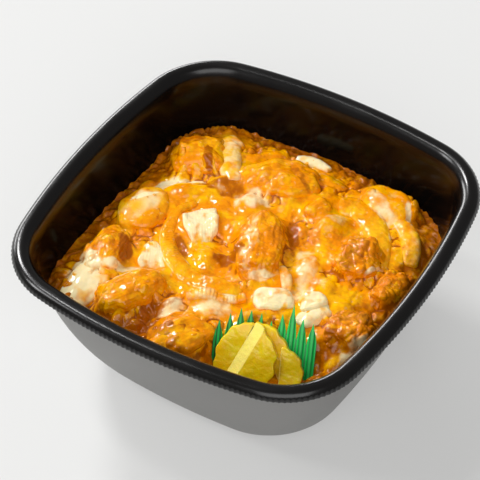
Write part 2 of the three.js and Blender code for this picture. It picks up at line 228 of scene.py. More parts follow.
def write_attribute(piece: Piece, name: str, values: Values) -> None:
    """Keeps one number a vertex with the mesh, for its material."""
    layer = piece.data.attributes.get(name) or piece.data.attributes.new(name, "FLOAT", "POINT")
    layer.data.foreach_set("value", np.ascontiguousarray(values, dtype=np.float32))


def edit_whole(piece: Piece, *steps: Callable[[], object]) -> None:
    """Runs operators in edit mode, with all of the piece selected.

    Args:
        piece: The piece.
        steps: The operators, in order.
    """
    deselect_all()
    piece.select_set(True)
    bpy.context.view_layer.objects.active = piece
    bpy.ops.object.mode_set(mode="EDIT")
    bpy.ops.mesh.select_all(action="SELECT")
    for step in steps:
        step()
    bpy.ops.object.mode_set(mode="OBJECT")


def close_seams(piece: Piece) -> None:
    """Joins vertices that lie on each other and turns all faces outwards."""
    joined = partial(bpy.ops.mesh.remove_doubles, threshold=SEAM_GAP * MM)
    edit_whole(piece, joined, bpy.ops.mesh.normals_make_consistent)


def apply_modifier(piece: Piece, kind: str, **settings: object) -> None:
    """Adds a modifier to the active piece and applies it.

    Args:
        piece: The piece.
        kind: The kind of modifier.
        settings: Its settings.
    """
    modifier = piece.modifiers.new(kind.lower(), kind)
    for key, value in settings.items():
        setattr(modifier, key, value)
    bpy.ops.object.modifier_apply(modifier=modifier.name)


def even_faces(piece: Piece, size: float, passes: int) -> None:
    """Gives the active piece faces of one size in millimetres, and rounds its edges."""
    apply_modifier(piece, "REMESH", mode="VOXEL", voxel_size=size * MM)
    apply_modifier(piece, "SMOOTH", iterations=passes)


def grid_sheet(name: str, columns: int, rows: int) -> tuple[Piece, Values, Values]:
    """Adds a flat grid whose places from 0 to 1 are then given a form.

    Args:
        name: The piece's name.
        columns: Faces along the first way.
        rows: Faces along the second way.

    Returns:
        The piece and its two places from 0 to 1, one a vertex.
    """
    grid = bpy.ops.mesh.primitive_grid_add
    piece = started(name, grid, x_subdivisions=columns, y_subdivisions=rows, size=2.0)
    flat = coordinates(piece) * MM
    return piece, (flat[:, 0] + 1.0) / 2.0, (flat[:, 1] + 1.0) / 2.0


def finished(piece: Piece, material: Material, slot: str, node: str) -> None:
    """Dresses a piece, ties it to its body and lets it stand for its solid.

    Args:
        piece: The finished piece.
        material: Its finish.
        slot: The record's material slot.
        node: The solid that it stands for.
    """
    piece.data.materials.clear()
    piece.data.materials.append(material)
    piece.data.polygons.foreach_set("use_smooth", [True] * len(piece.data.polygons))
    piece.data.update()
    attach(piece, "root")
    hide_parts(node)
    LOG.info("%s: %d faces, %s", piece.name, len(piece.data.polygons), slot)


# The form of the bowl's levels, shared by the bowl and by all that lies against its wall

LIP_HALF = 85.0
LIP_SIDE_RADIUS = 302.0
LIP_CORNER_RADIUS = 36.7
RIM_WIDTH = 8.4
BOWL_HEIGHT = 71.2
BASE_HALF = 53.5
BASE_SIDE_RADIUS = 325.0
BASE_CORNER_RADIUS = 32.3
WALL = 1.0
WALL_GAP = 0.2
WALL_BULGE = 4.6
BULGE_SINK = 0.31
RIM_FOOT = BOWL_HEIGHT - 3.6
INNER_EDGE_HALF = LIP_HALF - RIM_WIDTH
SIDE_SHARE = 0.70
REACH_STEPS = 720


@dataclass(frozen=True)
class Level:
    """One level of the bowl: a square with bowed sides and round corners."""

    half: float
    side: float
    corner: float

    @staticmethod
    def of_rim(inset: float) -> Level:
        """A level parallel to the lip, inset from it."""
        return Level(LIP_HALF - inset, LIP_SIDE_RADIUS - inset, LIP_CORNER_RADIUS - inset)

    @staticmethod
    def of_wall(height: float, inset: float = 0.0) -> Level:
        """A level of the wall.

        Args:
            height: How high it lies.
            inset: How far inside the outer face.

        Returns:
            The level.
        """
        t = height / RIM_FOOT
        bulge = WALL_BULGE * 4 * t * (1 - t) * (1 + BULGE_SINK * (1 - 2 * t))
        top = Level.of_rim(RIM_WIDTH)
        half = BASE_HALF + (INNER_EDGE_HALF + 0.5 - BASE_HALF) * t + bulge - inset
        side = BASE_SIDE_RADIUS + (top.side - BASE_SIDE_RADIUS) * t - inset
        corner = BASE_CORNER_RADIUS + (top.corner - BASE_CORNER_RADIUS) * t - inset
        return Level(half, side, corner)

    def scaled(self, share: float) -> Level:
        """The same outline, smaller."""
        return Level(self.half * share, self.side * share, self.corner * share)

    def points(self, share: Values) -> Values:
        """Points of the outline.

        Args:
            share: Places round it from 0 to 1, evenly spread over the lip's length.

        Returns:
            One [x, y] a row.
        """
        side_centre = self.half - self.side
        reach = (self.side - self.corner) ** 2
        corner_centre = (2 * side_centre + math.sqrt(8 * reach - 4 * side_centre**2)) / 4
        side_turn = math.atan2(corner_centre, corner_centre - side_centre)
        quarter = np.floor(share * 4 % 4)
        local = share * 4 % 1.0
        on_side = local < SIDE_SHARE
        side_angle = side_turn * (2 * local / SIDE_SHARE - 1)
        corner_t = (local - SIDE_SHARE) / (1 - SIDE_SHARE)
        corner_angle = side_turn + (math.pi / 2 - 2 * side_turn) * corner_t
        x_side = side_centre + self.side * np.cos(side_angle)
        y_side = self.side * np.sin(side_angle)
        x_corner = corner_centre + self.corner * np.cos(corner_angle)
        y_corner = corner_centre + self.corner * np.sin(corner_angle)
        x = np.where(on_side, x_side, x_corner)
        y = np.where(on_side, y_side, y_corner)
        cos, sin = np.cos(quarter * math.pi / 2), np.sin(quarter * math.pi / 2)
        return np.column_stack([x * cos - y * sin, x * sin + y * cos])

    def reach(self, angle: Values) -> Values:
        """How far the outline lies from the middle.

        Args:
            angle: The directions, in radians.

        Returns:
            One distance a direction.
        """
        ring = self.points(np.linspace(0, 1, REACH_STEPS + 1)[:-1])
        turn = np.arctan2(ring[:, 1], ring[:, 0])
        order = np.argsort(turn)
        return np.interp(angle, turn[order], np.hypot(*ring.T)[order], period=2 * math.pi)


LEVEL_STEP = 4.0
INSIDE_LEVELS = np.arange(2.0, 70.0, LEVEL_STEP)


def inside_wall(points: Values) -> Values:
    """Pulls points that lie beyond the bowl's inner face back to it.

    Args:
        points: Points in millimetres, one a row.

    Returns:
        The points, changed only where they were outside.
    """
    angle = np.arctan2(points[:, 1], points[:, 0])
    table = np.array([Level.of_wall(z, WALL + WALL_GAP).reach(angle) for z in INSIDE_LEVELS])
    place = np.clip((points[:, 2] - INSIDE_LEVELS[0]) / LEVEL_STEP, 0, len(INSIDE_LEVELS) - 1.001)
    low = place.astype(int)
    row = np.arange(len(points))
    limit = blend(table[low, row], table[low + 1, row], place - low)
    factor = np.minimum(1.0, limit / np.maximum(np.hypot(points[:, 0], points[:, 1]), 1e-6))
    moved = points.copy()
    moved[:, :2] *= factor[:, None]
    return moved


# The form of the heap's surface, shared by the heap and by all that lies in it

EDGE_HEIGHT = 40.5
EDGE_WAVES = ((0.9, 3, 1), (0.6, 7, 0))
LEFT_CORNER_RISE = 5.0
LEFT_CORNER_WIDTH = 0.45
HEAP_RISE = 8.0
CORNER_DIP = 9.0
DIP_AHEAD = (-12, -1)
DIP_BESIDE = (0, 8)
DIVIDER_START = np.array([14.3, -54.1])
DIVIDER_END = np.array([54.0, -38.7])
DIVIDER_ALONG = (DIVIDER_END - DIVIDER_START) / np.hypot(*(DIVIDER_END - DIVIDER_START))
DIVIDER_FRONT = np.array([DIVIDER_ALONG[1], -DIVIDER_ALONG[0]])
EDGE_LEVEL = Level.of_wall(EDGE_HEIGHT, WALL)


def edge_height(x: Values, y: Values) -> Values:
    """The height at which the heap meets the wall.

    Args:
        x: The points' places from left to right.
        y: Their places from front to back.

    Returns:
        The height in each point's direction.
    """
    turn = np.arctan2(x - y, -x - y)
    wave = sum(height * np.sin(count * turn + start) for height, count, start in EDGE_WAVES)
    rise = LEFT_CORNER_RISE * np.exp(-((turn / LEFT_CORNER_WIDTH) ** 2))
    return EDGE_HEIGHT + rise + wave


def swell(x: Values, y: Values) -> Values:
    """Soft swells about as wide as the pieces that lie in the egg."""
    return (
        1.1 * np.sin(x / 6.1 + 1.3 * np.sin(y / 9.7)) * np.cos(y / 7.3 + 0.6)
        + 0.8 * np.sin(x / 3.9 - y / 4.7 + 2)
        + 0.5 * np.cos(x / 2.9 + y / 5.1)
    )


def corner_dip(x: Values, y: Values) -> Values:
    """How much lower the heap lies in front of the divider.

    Args:
        x: The points' places from left to right.
        y: Their places from front to back.

    Returns:
        One depth a point.
    """
    ahead = DIVIDER_FRONT[0] * (x - DIVIDER_START[0]) + DIVIDER_FRONT[1] * (y - DIVIDER_START[1])
    beside = DIVIDER_START[0] - x
    return CORNER_DIP * smoothstep(ahead, *DIP_AHEAD) * (1 - smoothstep(beside, *DIP_BESIDE))


def heap_height(x: Values, y: Values) -> Values:
    """The height of the heap's surface at points of the plan.

    Args:
        x: The points' places from left to right.
        y: Their places from front to back.

    Returns:
        One height a point.
    """
    x, y = np.asarray(x, dtype=float), np.asarray(y, dtype=float)
    fraction = np.minimum(1.0, np.hypot(x, y) / EDGE_LEVEL.reach(np.arctan2(y, x)))
    edge = blend(EDGE_HEIGHT, edge_height(x, y), fraction**3)
    dome = HEAP_RISE * (1 - fraction**4)
    return edge + dome + (swell(x, y) - corner_dip(x, y)) * (1 - fraction**6)


# Where the larger patches of colour and the glazed folds of egg lie

SAUCE_SEED = 2
CREAM_SEED = 7
PATCH_WARP = 0.35
PATCH_WARP_SCALE = 4.0
PATCH_EDGE = (0.55, 1.1)
MOUND_POWER = 0.8


def offsets(x: Values, y: Values, at: Pair, turn: float) -> tuple[Values, Values]:
    """How far points lie from a place.

    Args:
        x: The points' places from left to right.
        y: Their places from front to back.
        at: The place.
        turn: The direction that counts as along.

    Returns:
        Their distances along that direction and across it.
    """
    cos, sin = math.cos(math.radians(turn)), math.sin(math.radians(turn))
    dx, dy = x - at[0], y - at[1]
    return dx * cos + dy * sin, dy * cos - dx * sin


@dataclass(frozen=True)
class Patch:
    """A patch of colour that lies over the food, whatever piece it falls on."""

    at: Pair
    radius: float
    amount: float = 1.0
    stretch: float = 1.0
    turn: float = 0.0

    def cover(self, points: Values, warp: Values) -> Values:
        """How much the patch covers each point.

        Args:
            points: Points in millimetres, one a row.
            warp: Noise from -1 to 1 that makes the patch's outline uneven.

        Returns:
            From 0 outside to the patch's amount in its middle.
        """
        along, across = offsets(points[:, 0], points[:, 1], self.at, self.turn)
        across = across * math.sqrt(self.stretch)
        distance = np.hypot(along / self.stretch, across) / self.radius + PATCH_WARP * warp
        return self.amount * (1 - smoothstep(distance, *PATCH_EDGE))


def patches(*rows: tuple[float, ...]) -> list[Patch]:
    """Patches from rows of x, y, radius, amount, stretch and turn."""
    return [Patch((x, y), *rest) for x, y, *rest in rows]


# Brown patches: sauce on the chicken, and painted shade in the gaps and pits between pieces.
SAUCE_PATCHES = patches(
    (-44.1, -27.9, 5, 1, 1.8, 122), (-16.3, -48.1, 5.5, 1, 2.2, 60),
    (-14, -58, 12, 0.75, 1.6, 33), (-27, 27, 8, 0.7, 2, 10), (11.5, 17, 5, 0.9, 2.6, 122),
    (-4.5, -9, 5, 0.9, 1.6, 30), (41, 19, 10, 0.5, 1.5, 100), (58, -8, 12, 0.5, 1.5, 62),
    (55, -27, 7, 0.7, 1.4, 40), (-26, -14, 5, 0.8, 1.8, 130), (-56, 42, 7, 1, 1.4, 30),
    (-43, 37, 4, 1, 2.4, 120), (-3, 46, 4, 0.8, 2.6, 150), (-6, -21, 6, 0.4, 2.2, 10),
    (63, -36, 7, 0.7), (62, 36, 8, 0.9, 1.5, 85), (-63, -22, 8, 0.7, 2, 90),
    (-60, 30, 10, 0.6, 1.8, 90), (-52, 48, 10, 0.6), (-66, 5, 6, 0.7, 2.4, 90),
    (27, 44, 7, 0.6, 1.6, 150),
)

# Pale patches: egg white, and thin streaks of painted highlight on glazed egg and chicken.
CREAM_PATCHES = patches(
    (-13.3, 25.5, 8, 0.55, 1.3, 20), (-53, 17, 5, 0.7, 1.8, 60), (-36, -42, 4, 0.7, 2.6, 57),
    (-50, -48, 9, 0.62, 1.5, 115), (-58, -46, 4, 0.6, 2.2, 90), (-41, -37, 4, 0.6, 2.6, 35),
    (-55, -42, 2.5, 0.9, 3, 60), (-62, -28, 1.6, 0.8, 3, 70), (35.4, 50.8, 7, 0.5, 2, 150),
    (47, 55, 3, 0.5, 3, 120), (30, -12, 8, 0.45, 1.5, 60), (13, -12, 3, 0.6, 2.6, 40),
    (23.3, 32.7, 5, 0.4, 1.3, 40), (1, 0, 7, 0.38, 2.4, 114), (52, 15, 2, 0.5, 3, 70),
    (-43, 24, 3, 0.6, 3, 30), (26, 3, 8, 0.42, 1.8, 122), (5, -35, 7, 0.45, 1.5, 30),
    (-11, -44, 6, 0.6, 1.6, 60), (45, 52, 9, 0.2, 1.6, 130), (-54, -2, 9, 0.34, 1.4, 86),
    (-55, 2, 2.4, 0.9, 3, 50), (66, -24, 5, 0.6, 1.8, 60), (43, -15, 5, 0.5),
)


@dataclass(frozen=True)
class Mound:
    """A smooth, glazed swelling of the heap, such as a fold of egg over a piece below."""

    at: Pair
    length: float
    width: float
    height: float
    turn: float = 0.0

    def share(self, x: Values, y: Values) -> Values:
        """From 0 at the mound's edge to 1 on its top.

        Args:
            x: The points' places from left to right.
            y: Their places from front to back.

        Returns:
            One share a point.
        """
        along, across = offsets(x, y, self.at, self.turn)
        distance = np.hypot(along / (self.length / 2), across / (self.width / 2))
        return np.clip(1 - distance**2, 0, 1) ** MOUND_POWER


def mounds(*rows: tuple[float, ...]) -> list[Mound]:
    """Mounds from rows of x, y, length, width, height and turn."""
    return [Mound((x, y), *rest) for x, y, *rest in rows]


MOUNDS = mounds(
    (-43, 17, 27, 12, 3.6, 30), (-30, 30, 16, 10, 3, 40), (-9, 7, 17, 14, 4, 20),
    (-13.3, 24.5, 13, 10, 3.6, 20), (23, 31, 17, 12, 4.4, 40), (36, 44, 16, 9, 3, 150),
    (27, 3, 22, 11, 3, 115), (38, -1, 12, 12, 3.2, 60), (22, -30, 18, 7, 2.6, 33),
    (4, -37, 22, 9, 2.8, 35), (-12, -44, 14, 10, 2.6, 75), (-57, -26, 12, 9, 2.6, 90),
    (-60, 12, 14, 8, 2.4, 100), (56, 28, 12, 9, 2.4, 90), (50, -8, 13, 9, 3.2, 40),
    (60, -29, 15, 8, 3, 70), (8, 55, 16, 9, 3, 0), (-22, 58, 14, 9, 2.6, 10),
    (-14, -12, 14, 10, 2.4, 0), (-33, 3, 9, 8, 2.4, 0), (12, 22, 10, 8, 2, 0),
)


def patch_cover(points: Values, table: list[Patch], seed: float) -> Values:
    """The strongest cover of any patch of a table at each point."""
    warp = wander(points, PATCH_WARP_SCALE, seed)
    return np.max([patch.cover(points, warp) for patch in table], axis=0)


# Finishes


class NodeChain:
    """Adds shader nodes to one material and links them."""

    def __init__(self, name: str) -> None:
        """Starts an empty material.

        Args:
            name: The material's name.
        """
        self.material = bpy.data.materials.new(name)
        self.material.use_nodes = True
        self.tree = self.material.node_tree
        self.tree.nodes.clear()
        output = self.add("ShaderNodeOutputMaterial")
        self.shader = self.add("ShaderNodeBsdfPrincipled")
        self.feed(output.inputs["Surface"], self.shader.outputs["BSDF"])
        self.place = self.add("ShaderNodeTexCoord").outputs["Object"]

    def add(self, kind: str, **settings: object) -> bpy.types.Node:
        """Adds one node.

        Args:
            kind: The kind of node.
            settings: Its settings.

        Returns:
            The new node.
        """
        node = self.tree.nodes.new(kind)
        for key, value in settings.items():
            setattr(node, key, value)
        return node

    def feed(self, target: Socket, value: object) -> None:
        """Links a socket to another, or gives it a fixed value.

        Args:
            target: The socket that takes the value.
            value: The other socket, a number or a colour.
        """
        if isinstance(value, bpy.types.NodeSocket):
            self.tree.links.new(value, target)
        else:
            target.default_value = value

    def shade(self, sockets: dict[str, object]) -> None:
        """Links or sets sockets of the shader itself, by their names."""
        for name, value in sockets.items():
            self.feed(self.shader.inputs[name], value)

    def attribute(self, name: str) -> Socket:
        """A number that the mesh keeps at its vertices."""
        return self.add("ShaderNodeAttribute", attribute_name=name).outputs["Fac"]

    def noise(self, scale: float, detail: float = 3.0, stretch: Triple = (1, 1, 1)) -> Socket:
        """Noise on the piece, from 0 to 1.

        Args:
            scale: How many swells a metre.
            detail: How much finer noise lies on it.
            stretch: How much denser it is along each axis.

        Returns:
            The noise's socket.
        """
        mapping = self.add("ShaderNodeMapping")
        self.feed(mapping.inputs["Scale"], stretch)
        self.feed(mapping.inputs["Vector"], self.place)
        texture = self.add("ShaderNodeTexNoise")
        self.feed(texture.inputs["Scale"], scale)
        self.feed(texture.inputs["Detail"], detail)
        self.feed(texture.inputs["Vector"], mapping.outputs["Vector"])
        return texture.outputs["Fac"]

    def ramp(self, source: Socket, low: float, high: float) -> Socket:
        """Stretches a part of a value over 0 to 1.

        Args:
            source: The value.
            low: What becomes 0.
            high: What becomes 1.

        Returns:
            The stretched value's socket.
        """
        node = self.add("ShaderNodeMapRange", interpolation_type="SMOOTHSTEP")
        self.feed(node.inputs["From Min"], low)
        self.feed(node.inputs["From Max"], high)
        self.feed(node.inputs["Value"], source)
        return node.outputs["Result"]

    def math(self, operation: str, first: Socket, second: Socket | float) -> Socket:
        """One sum of two values.

        Args:
            operation: The kind of sum.
            first: The first value.
            second: The second value.

        Returns:
            The result's socket.
        """
        node = self.add("ShaderNodeMath", operation=operation)
        self.feed(node.inputs[0], first)
        self.feed(node.inputs[1], second)
        return node.outputs[0]

    def times(self, first: Socket, second: Socket | float) -> Socket:
        """The product of two values."""
        return self.math("MULTIPLY", first, second)

    def plus(self, first: Socket, second: Socket | float) -> Socket:
        """The sum of two values."""
        return self.math("ADD", first, second)

    def mix(self, share: Socket, first: Socket | Colour, second: Socket | Colour) -> Socket:
        """Mixes two colours.

        Args:
            share: How much of the second colour there is.
            first: The first colour.
            second: The second colour.

        Returns:
            The mixed colour's socket.
        """
        node = self.add("ShaderNodeMix", data_type="RGBA")
        self.feed(node.inputs["Factor"], share)
        self.feed(node.inputs[6], first)
        self.feed(node.inputs[7], second)
        return node.outputs[2]

    def bump(self, height: Socket, distance: float) -> None:
        """Gives the surface low relief.

        Args:
            height: The relief, from 0 to 1.
            distance: How deep it is, in metres.
        """
        node = self.add("ShaderNodeBump")
        self.feed(node.inputs["Strength"], 1.0)
        self.feed(node.inputs["Distance"], distance)
        self.feed(node.inputs["Height"], height)
        self.feed(self.shader.inputs["Normal"], node.outputs["Normal"])


@dataclass(frozen=True)
class FoodFinish:
    """Wet simmered food: patches of two body colours under brown sauce with painted shade, and
    pale egg white with painted highlights.
    """

    name: str
    body: Colour
    light: Colour
    # Brown of the sauce, also used as painted shade in creases and hollows and at the feet of
    # pieces.
    sauce: Colour = linear(176, 92, 0)
    cream: Colour = linear(254, 232, 180)
    dark: Colour = linear(206, 110, 0)
    glow: float = 0.0
    glow_radius: Triple = (0.0016, 0.0012, 0.0006)
    roughness: float = 0.4
    wetness: float = 0.8
    coat_roughness: float = 0.035
    coat_ior: float = 1.42
    patch_scale: float = 110.0
    patch_edge: Pair = (0.42, 0.62)
    fleck_fineness: float = 4.1
    fleck_edge: Pair = (0.62, 0.74)
    fleck_share: float = 0.25
    mottle_scale: float = 480.0
    mottle_edge: Pair = (0.48, 0.6)
    mottle_share: Pair = (0.1, 0.4)
    strand_share: float = 0.35
    cream_scale: float = 230.0
    cream_detail: float = 5.0
    cream_edge: Pair = (0.68, 1.25)
    sauce_scale: float = 340.0
    sauce_edge: Pair = (0.68, 1.35)
    grain: float = 560.0
    grain_fineness: float = 2.3
    grain_depth: float = 0.0003
    ripple: float = 330.0
    ripple_height: float = 2.1

    def material(self) -> Material:
        """Builds the material.

        Returns:
            A material that reads the attributes sauce (sauce with painted shade), cream (egg white
            with painted highlights), grain and strand.
        """
        chain = NodeChain(self.name)
        patch = chain.ramp(chain.noise(self.patch_scale, 4.0), *self.patch_edge)
        colour = chain.mix(patch, self.body, self.light)
        flecks = chain.noise(self.patch_scale * self.fleck_fineness, 2.0)
        flecks = chain.ramp(flecks, *self.fleck_edge)
        colour = chain.mix(chain.times(flecks, self.fleck_share), colour, self.cream)
        mottle = chain.ramp(chain.noise(self.mottle_scale, 6.0), *self.mottle_edge)
        least, gain = self.mottle_share
        share = chain.plus(chain.times(chain.attribute("grain"), gain), least)
        colour = chain.mix(chain.times(mottle, share), colour, self.dark)
        strand = chain.times(chain.attribute("strand"), self.strand_share)
        colour = chain.mix(strand, colour, self.dark)
        # Pale where the attribute cream says: egg white, and painted highlights from the pale
        # patches.
        cloud = chain.noise(self.cream_scale, self.cream_detail)
        pale = chain.ramp(chain.plus(chain.attribute("cream"), cloud), *self.cream_edge)
        colour = chain.mix(pale, colour, self.cream)
        # Brown where the attribute sauce says: sauce, and painted shade in creases, hollows and
        # under pieces.
        cloud = chain.noise(self.sauce_scale, 5.0)
        brown = chain.ramp(chain.plus(chain.attribute("sauce"), cloud), *self.sauce_edge)
        colour = chain.mix(brown, colour, self.sauce)
        chain.shade({
            "Base Color": colour,
            "Roughness": self.roughness,
            "Specular IOR Level": 0.0,
            "Subsurface Weight": self.glow,
            "Subsurface Radius": self.glow_radius,
            "Subsurface Scale": 1.0,
            "Coat Weight": self.wetness,
            "Coat Roughness": self.coat_roughness,
            "Coat IOR": self.coat_ior,
        })
        coarse = chain.noise(self.grain / self.grain_fineness, 2.0)
        fine = chain.plus(chain.noise(self.grain, 3.0), coarse)
        fine = chain.times(fine, chain.attribute("grain"))
        ripple = chain.times(chain.noise(self.ripple, 1.0), self.ripple_height)
        chain.bump(chain.plus(fine, ripple), self.grain_depth)
        return chain.material


@dataclass(frozen=True)
class PlasticFinish:
    """Moulded black plastic, glossy inside and on the rim, and matte outside, painted grey there
    as a reflection of the pale floor.
    """

    name: str = "black_bowl_plastic"
    gloss: Colour = linear(9, 7, 6)
    # Painted reflection: grey for the pale floor's sheen on the black outer face.
    matte: Colour = linear(132, 131, 129)
    polish: Pair = (0.2, 0.27)
    inner_polish: float = -0.1
    matte_roughness: float = 0.52
    shine: float = 0.46
    inner_shine: float = -0.34
    smear_scale: float = 38.0
    smear_stretch: Triple = (1, 1, 0.4)
    smear_edge: Pair = (0.35, 0.7)
    grain: float = 2600.0
    grain_depth: float = 0.000006

    def material(self) -> Material:
        """Builds the material.

        Returns:
            A material that reads the attributes outside and inner.
        """
        chain = NodeChain(self.name)
        outside, inner = chain.attribute("outside"), chain.attribute("inner")
        # Painted reflection: the outer face grey instead of black.
        colour = chain.mix(outside, self.gloss, self.matte)
        smear = chain.noise(self.smear_scale, 3.0, self.smear_stretch)
        rough = chain.add("ShaderNodeMapRange")
        chain.feed(rough.inputs["To Min"], self.polish[0])
        chain.feed(rough.inputs["To Max"], self.polish[1])
        chain.feed(rough.inputs["Value"], chain.ramp(smear, *self.smear_edge))
        both = chain.add("ShaderNodeMix", data_type="FLOAT")
        chain.feed(both.inputs["Factor"], outside)
        polished = chain.plus(chain.times(inner, self.inner_polish), rough.outputs["Result"])
        chain.feed(both.inputs[2], polished)
        chain.feed(both.inputs[3], self.matte_roughness)
        level = chain.plus(chain.times(inner, self.inner_shine), self.shine)
        chain.shade({
            "Base Color": colour,
            "Roughness": both.outputs[0],
            "Specular IOR Level": level,
        })
        chain.bump(chain.noise(self.grain, 1.0), self.grain_depth)
        return chain.material


@dataclass(frozen=True)
class RadishFinish:
    """Pickled radish: wet, translucent yellow flesh, paler on the cut."""

    name: str = "pickled_radish_flesh"
    flesh: Colour = linear(255, 222, 8)
    deep: Colour = linear(255, 200, 0)
    shade: Colour = linear(176, 118, 6)
    cut: Colour = linear(255, 230, 110)
    cloud_scale: float = 120.0
    cloud_edge: Pair = (0.35, 0.7)
    roughness: float = 0.32
    shine: float = 0.3
    glow: float = 0.3
    glow_radius: Triple = (0.003, 0.002, 0.0004)
    wetness: float = 0.3
    coat_roughness: float = 0.12
    grain: float = 1400.0
    grain_depth: float = 0.00012

    def material(self) -> Material:
        """Builds the material.

        Returns:
            A material that reads the attributes cut and shade.
        """
        chain = NodeChain(self.name)
        cloud = chain.ramp(chain.noise(self.cloud_scale, 4.0), *self.cloud_edge)
        colour = chain.mix(cloud, self.flesh, self.deep)
        colour = chain.mix(chain.attribute("shade"), colour, self.shade)
        chain.shade({
            "Base Color": chain.mix(chain.attribute("cut"), colour, self.cut),
            "Roughness": self.roughness,
            "Subsurface Weight": self.glow,
            "Subsurface Radius": self.glow_radius,
            "Subsurface Scale": 1.0,
            "Specular IOR Level": self.shine,
            "Coat Weight": self.wetness,
            "Coat Roughness": self.coat_roughness,
        })
        chain.bump(chain.noise(self.grain, 3.0), self.grain_depth)
        return chain.material


@dataclass(frozen=True)
class LeafFinish:
    """Green film, with darker pressed veins that run up the teeth, and painted shade over its left
    part.
    """

    name: str = "green_divider_film"
    bright: Colour = linear(0, 208, 88)
    # Colour of the veins, also used for the painted shade on the left part.
    vein: Colour = linear(0, 96, 48)
    roughness: float = 0.38
    grain: float = 700.0
    grain_depth: float = 0.00005

    def material(self) -> Material:
        """Builds the material.

        Returns:
            A material that reads the attribute vein, which holds the veins and the painted shade.
        """
        chain = NodeChain(self.name)
        colour = chain.mix(chain.attribute("vein"), self.bright, self.vein)
        chain.shade({"Base Color": colour, "Roughness": self.roughness})
        chain.bump(chain.noise(self.grain, 2.0), self.grain_depth)
        return chain.material


# The bowl


@dataclass(frozen=True)
class Ring:
    """One ring of the bowl's section."""

    level: Level
    height: float
    outside: float = 0.0
    fluted: float = 0.0


@dataclass
class Bowl:
    """The takeaway bowl: a thin wall with a rolled rim and a fluted outer lip."""

    flutes: int = 264
    columns_a_flute: int = 4
    flute_depth: float = 0.42
    base_round: float = 3.0
    base_rise: float = 2.4
    round_power: float = 1.3
    under_shares: tuple[float, ...] = (0.0, 0.3, 0.6, 0.9)
    floor_shares: tuple[float, ...] = (0.8, 0.4, 0.0)
    outer_corner_rings: int = 6
    inner_corner_rings: int = 5
    wall_rings: int = 14
    wall_start: float = 4.0
    under_rim: tuple[Pair, ...] = ((6.2, 1.9), (5.2, 1.5), (3.0, 1.6), (1.6, 2.6), (WALL, 4.0))
    lip: tuple[Triple, ...] = (
        *((0.45, 4.1, 0.0), (0.05, 3.95, 1.0), (0.0, 3.5, 1.0), (0.0, 3.0, 1.0)),
        (0.12, 2.65, 0.9),
    )
    over_rim: tuple[Pair, ...] = (
        *((0.45, 2.25), (0.85, 1.55), (1.5, 0.9), (2.3, 0.38), (3.2, 0.1), (4.2, 0.0)),
        *((5.2, 0.08), (6.1, 0.42), (6.9, 0.95), (7.5, 1.55), (8.0, 2.2), (8.35, 2.9)),
    )

    def base_ring(self, turn: float, depth: float, outside: float) -> Ring:
        """A ring where the base rounds into the wall.

        Args:
            turn: From 0 on the base to a quarter turn at the wall, in radians.
            depth: How far inside the outer face.
            outside: 1 on the outer face.

        Returns:
            The ring.
        """
        height = depth + self.base_rise * (1 - math.cos(turn))
        inset = depth + self.base_round * (1 - math.sin(turn)) ** self.round_power
        return Ring(Level.of_wall(height, inset), height, outside)

    def section(self) -> list[Ring]:
        """Lists the rings of the section.

        Returns:
            The rings from the middle of the underside over the rim to the middle of the floor.
        """
        under = Level.of_wall(0, self.base_round)
        floor = Level.of_wall(WALL, WALL + self.base_round)
        up = np.linspace(0, math.pi / 2, self.outer_corner_rings)
        down = np.linspace(math.pi / 2, 0, self.inner_corner_rings)
        rise = np.linspace(self.wall_start, RIM_FOOT - 0.6, self.wall_rings)
        fall = np.linspace(RIM_FOOT - 0.3, self.wall_start, self.wall_rings)
        return [
            *(Ring(under.scaled(share), 0.0, 1.0) for share in self.under_shares),
            *(self.base_ring(turn, 0.0, 1.0) for turn in up),
            *(Ring(Level.of_wall(height), height, 1.0) for height in rise),
            *(Ring(Level.of_rim(x), BOWL_HEIGHT - z, 1.0) for x, z in self.under_rim),
            *(Ring(Level.of_rim(x), BOWL_HEIGHT - z, fluted=depth) for x, z, depth in self.lip),
            *(Ring(Level.of_rim(x), BOWL_HEIGHT - z) for x, z in self.over_rim),
            *(Ring(Level.of_wall(height, WALL), height) for height in fall),
            *(self.base_ring(turn, WALL, 0.0) for turn in down),
            *(Ring(floor.scaled(share), WALL) for share in self.floor_shares),
        ]

    def build(self) -> None:
        """Wraps a grid round the section and closes it."""
        rings = self.section()
        last = len(rings) - 1
        columns = self.flutes * self.columns_a_flute
        piece, around, along = grid_sheet("takeaway_bowl", columns, last)
        row = np.rint(along * last).astype(int)
        points = np.zeros((len(row), 3))
        for index, ring in enumerate(rings):
            chosen = row == index
            share = around[chosen] % 1.0
            outline = np.zeros((len(share), 2))
            if ring.level.half > 0.01:
                outline = ring.level.points(share)
            if ring.fluted:
                groove = 0.5 - 0.5 * np.cos(2 * math.pi * self.flutes * share)
                depth = ring.fluted * self.flute_depth * groove
                outline *= (1 - depth / np.hypot(*outline.T))[:, None]
            points[chosen] = np.column_stack([outline, np.full(len(outline), ring.height)])
        reshape_to(piece, points)
        outside = np.array([ring.outside for ring in rings])[row]
        inner = smoothstep(-points[:, 2], 1.0 - RIM_FOOT, 6.0 - RIM_FOOT) * (1 - outside)
        write_attribute(piece, "outside", outside)
        write_attribute(piece, "inner", inner)
        close_seams(piece)
        finished(piece, PlasticFinish().material(), "bowl_plastic", "bowl")


# Pieces that lie in the egg


def settled(at: Pair, height: float, sunk: float) -> Values:
    """The middle of a piece that is sunk in the heap by a share of its height."""
    level = float(heap_height(np.array([at[0]]), np.array([at[1]]))[0])
    return np.array([at[0], at[1], level + (0.5 - sunk) * height])


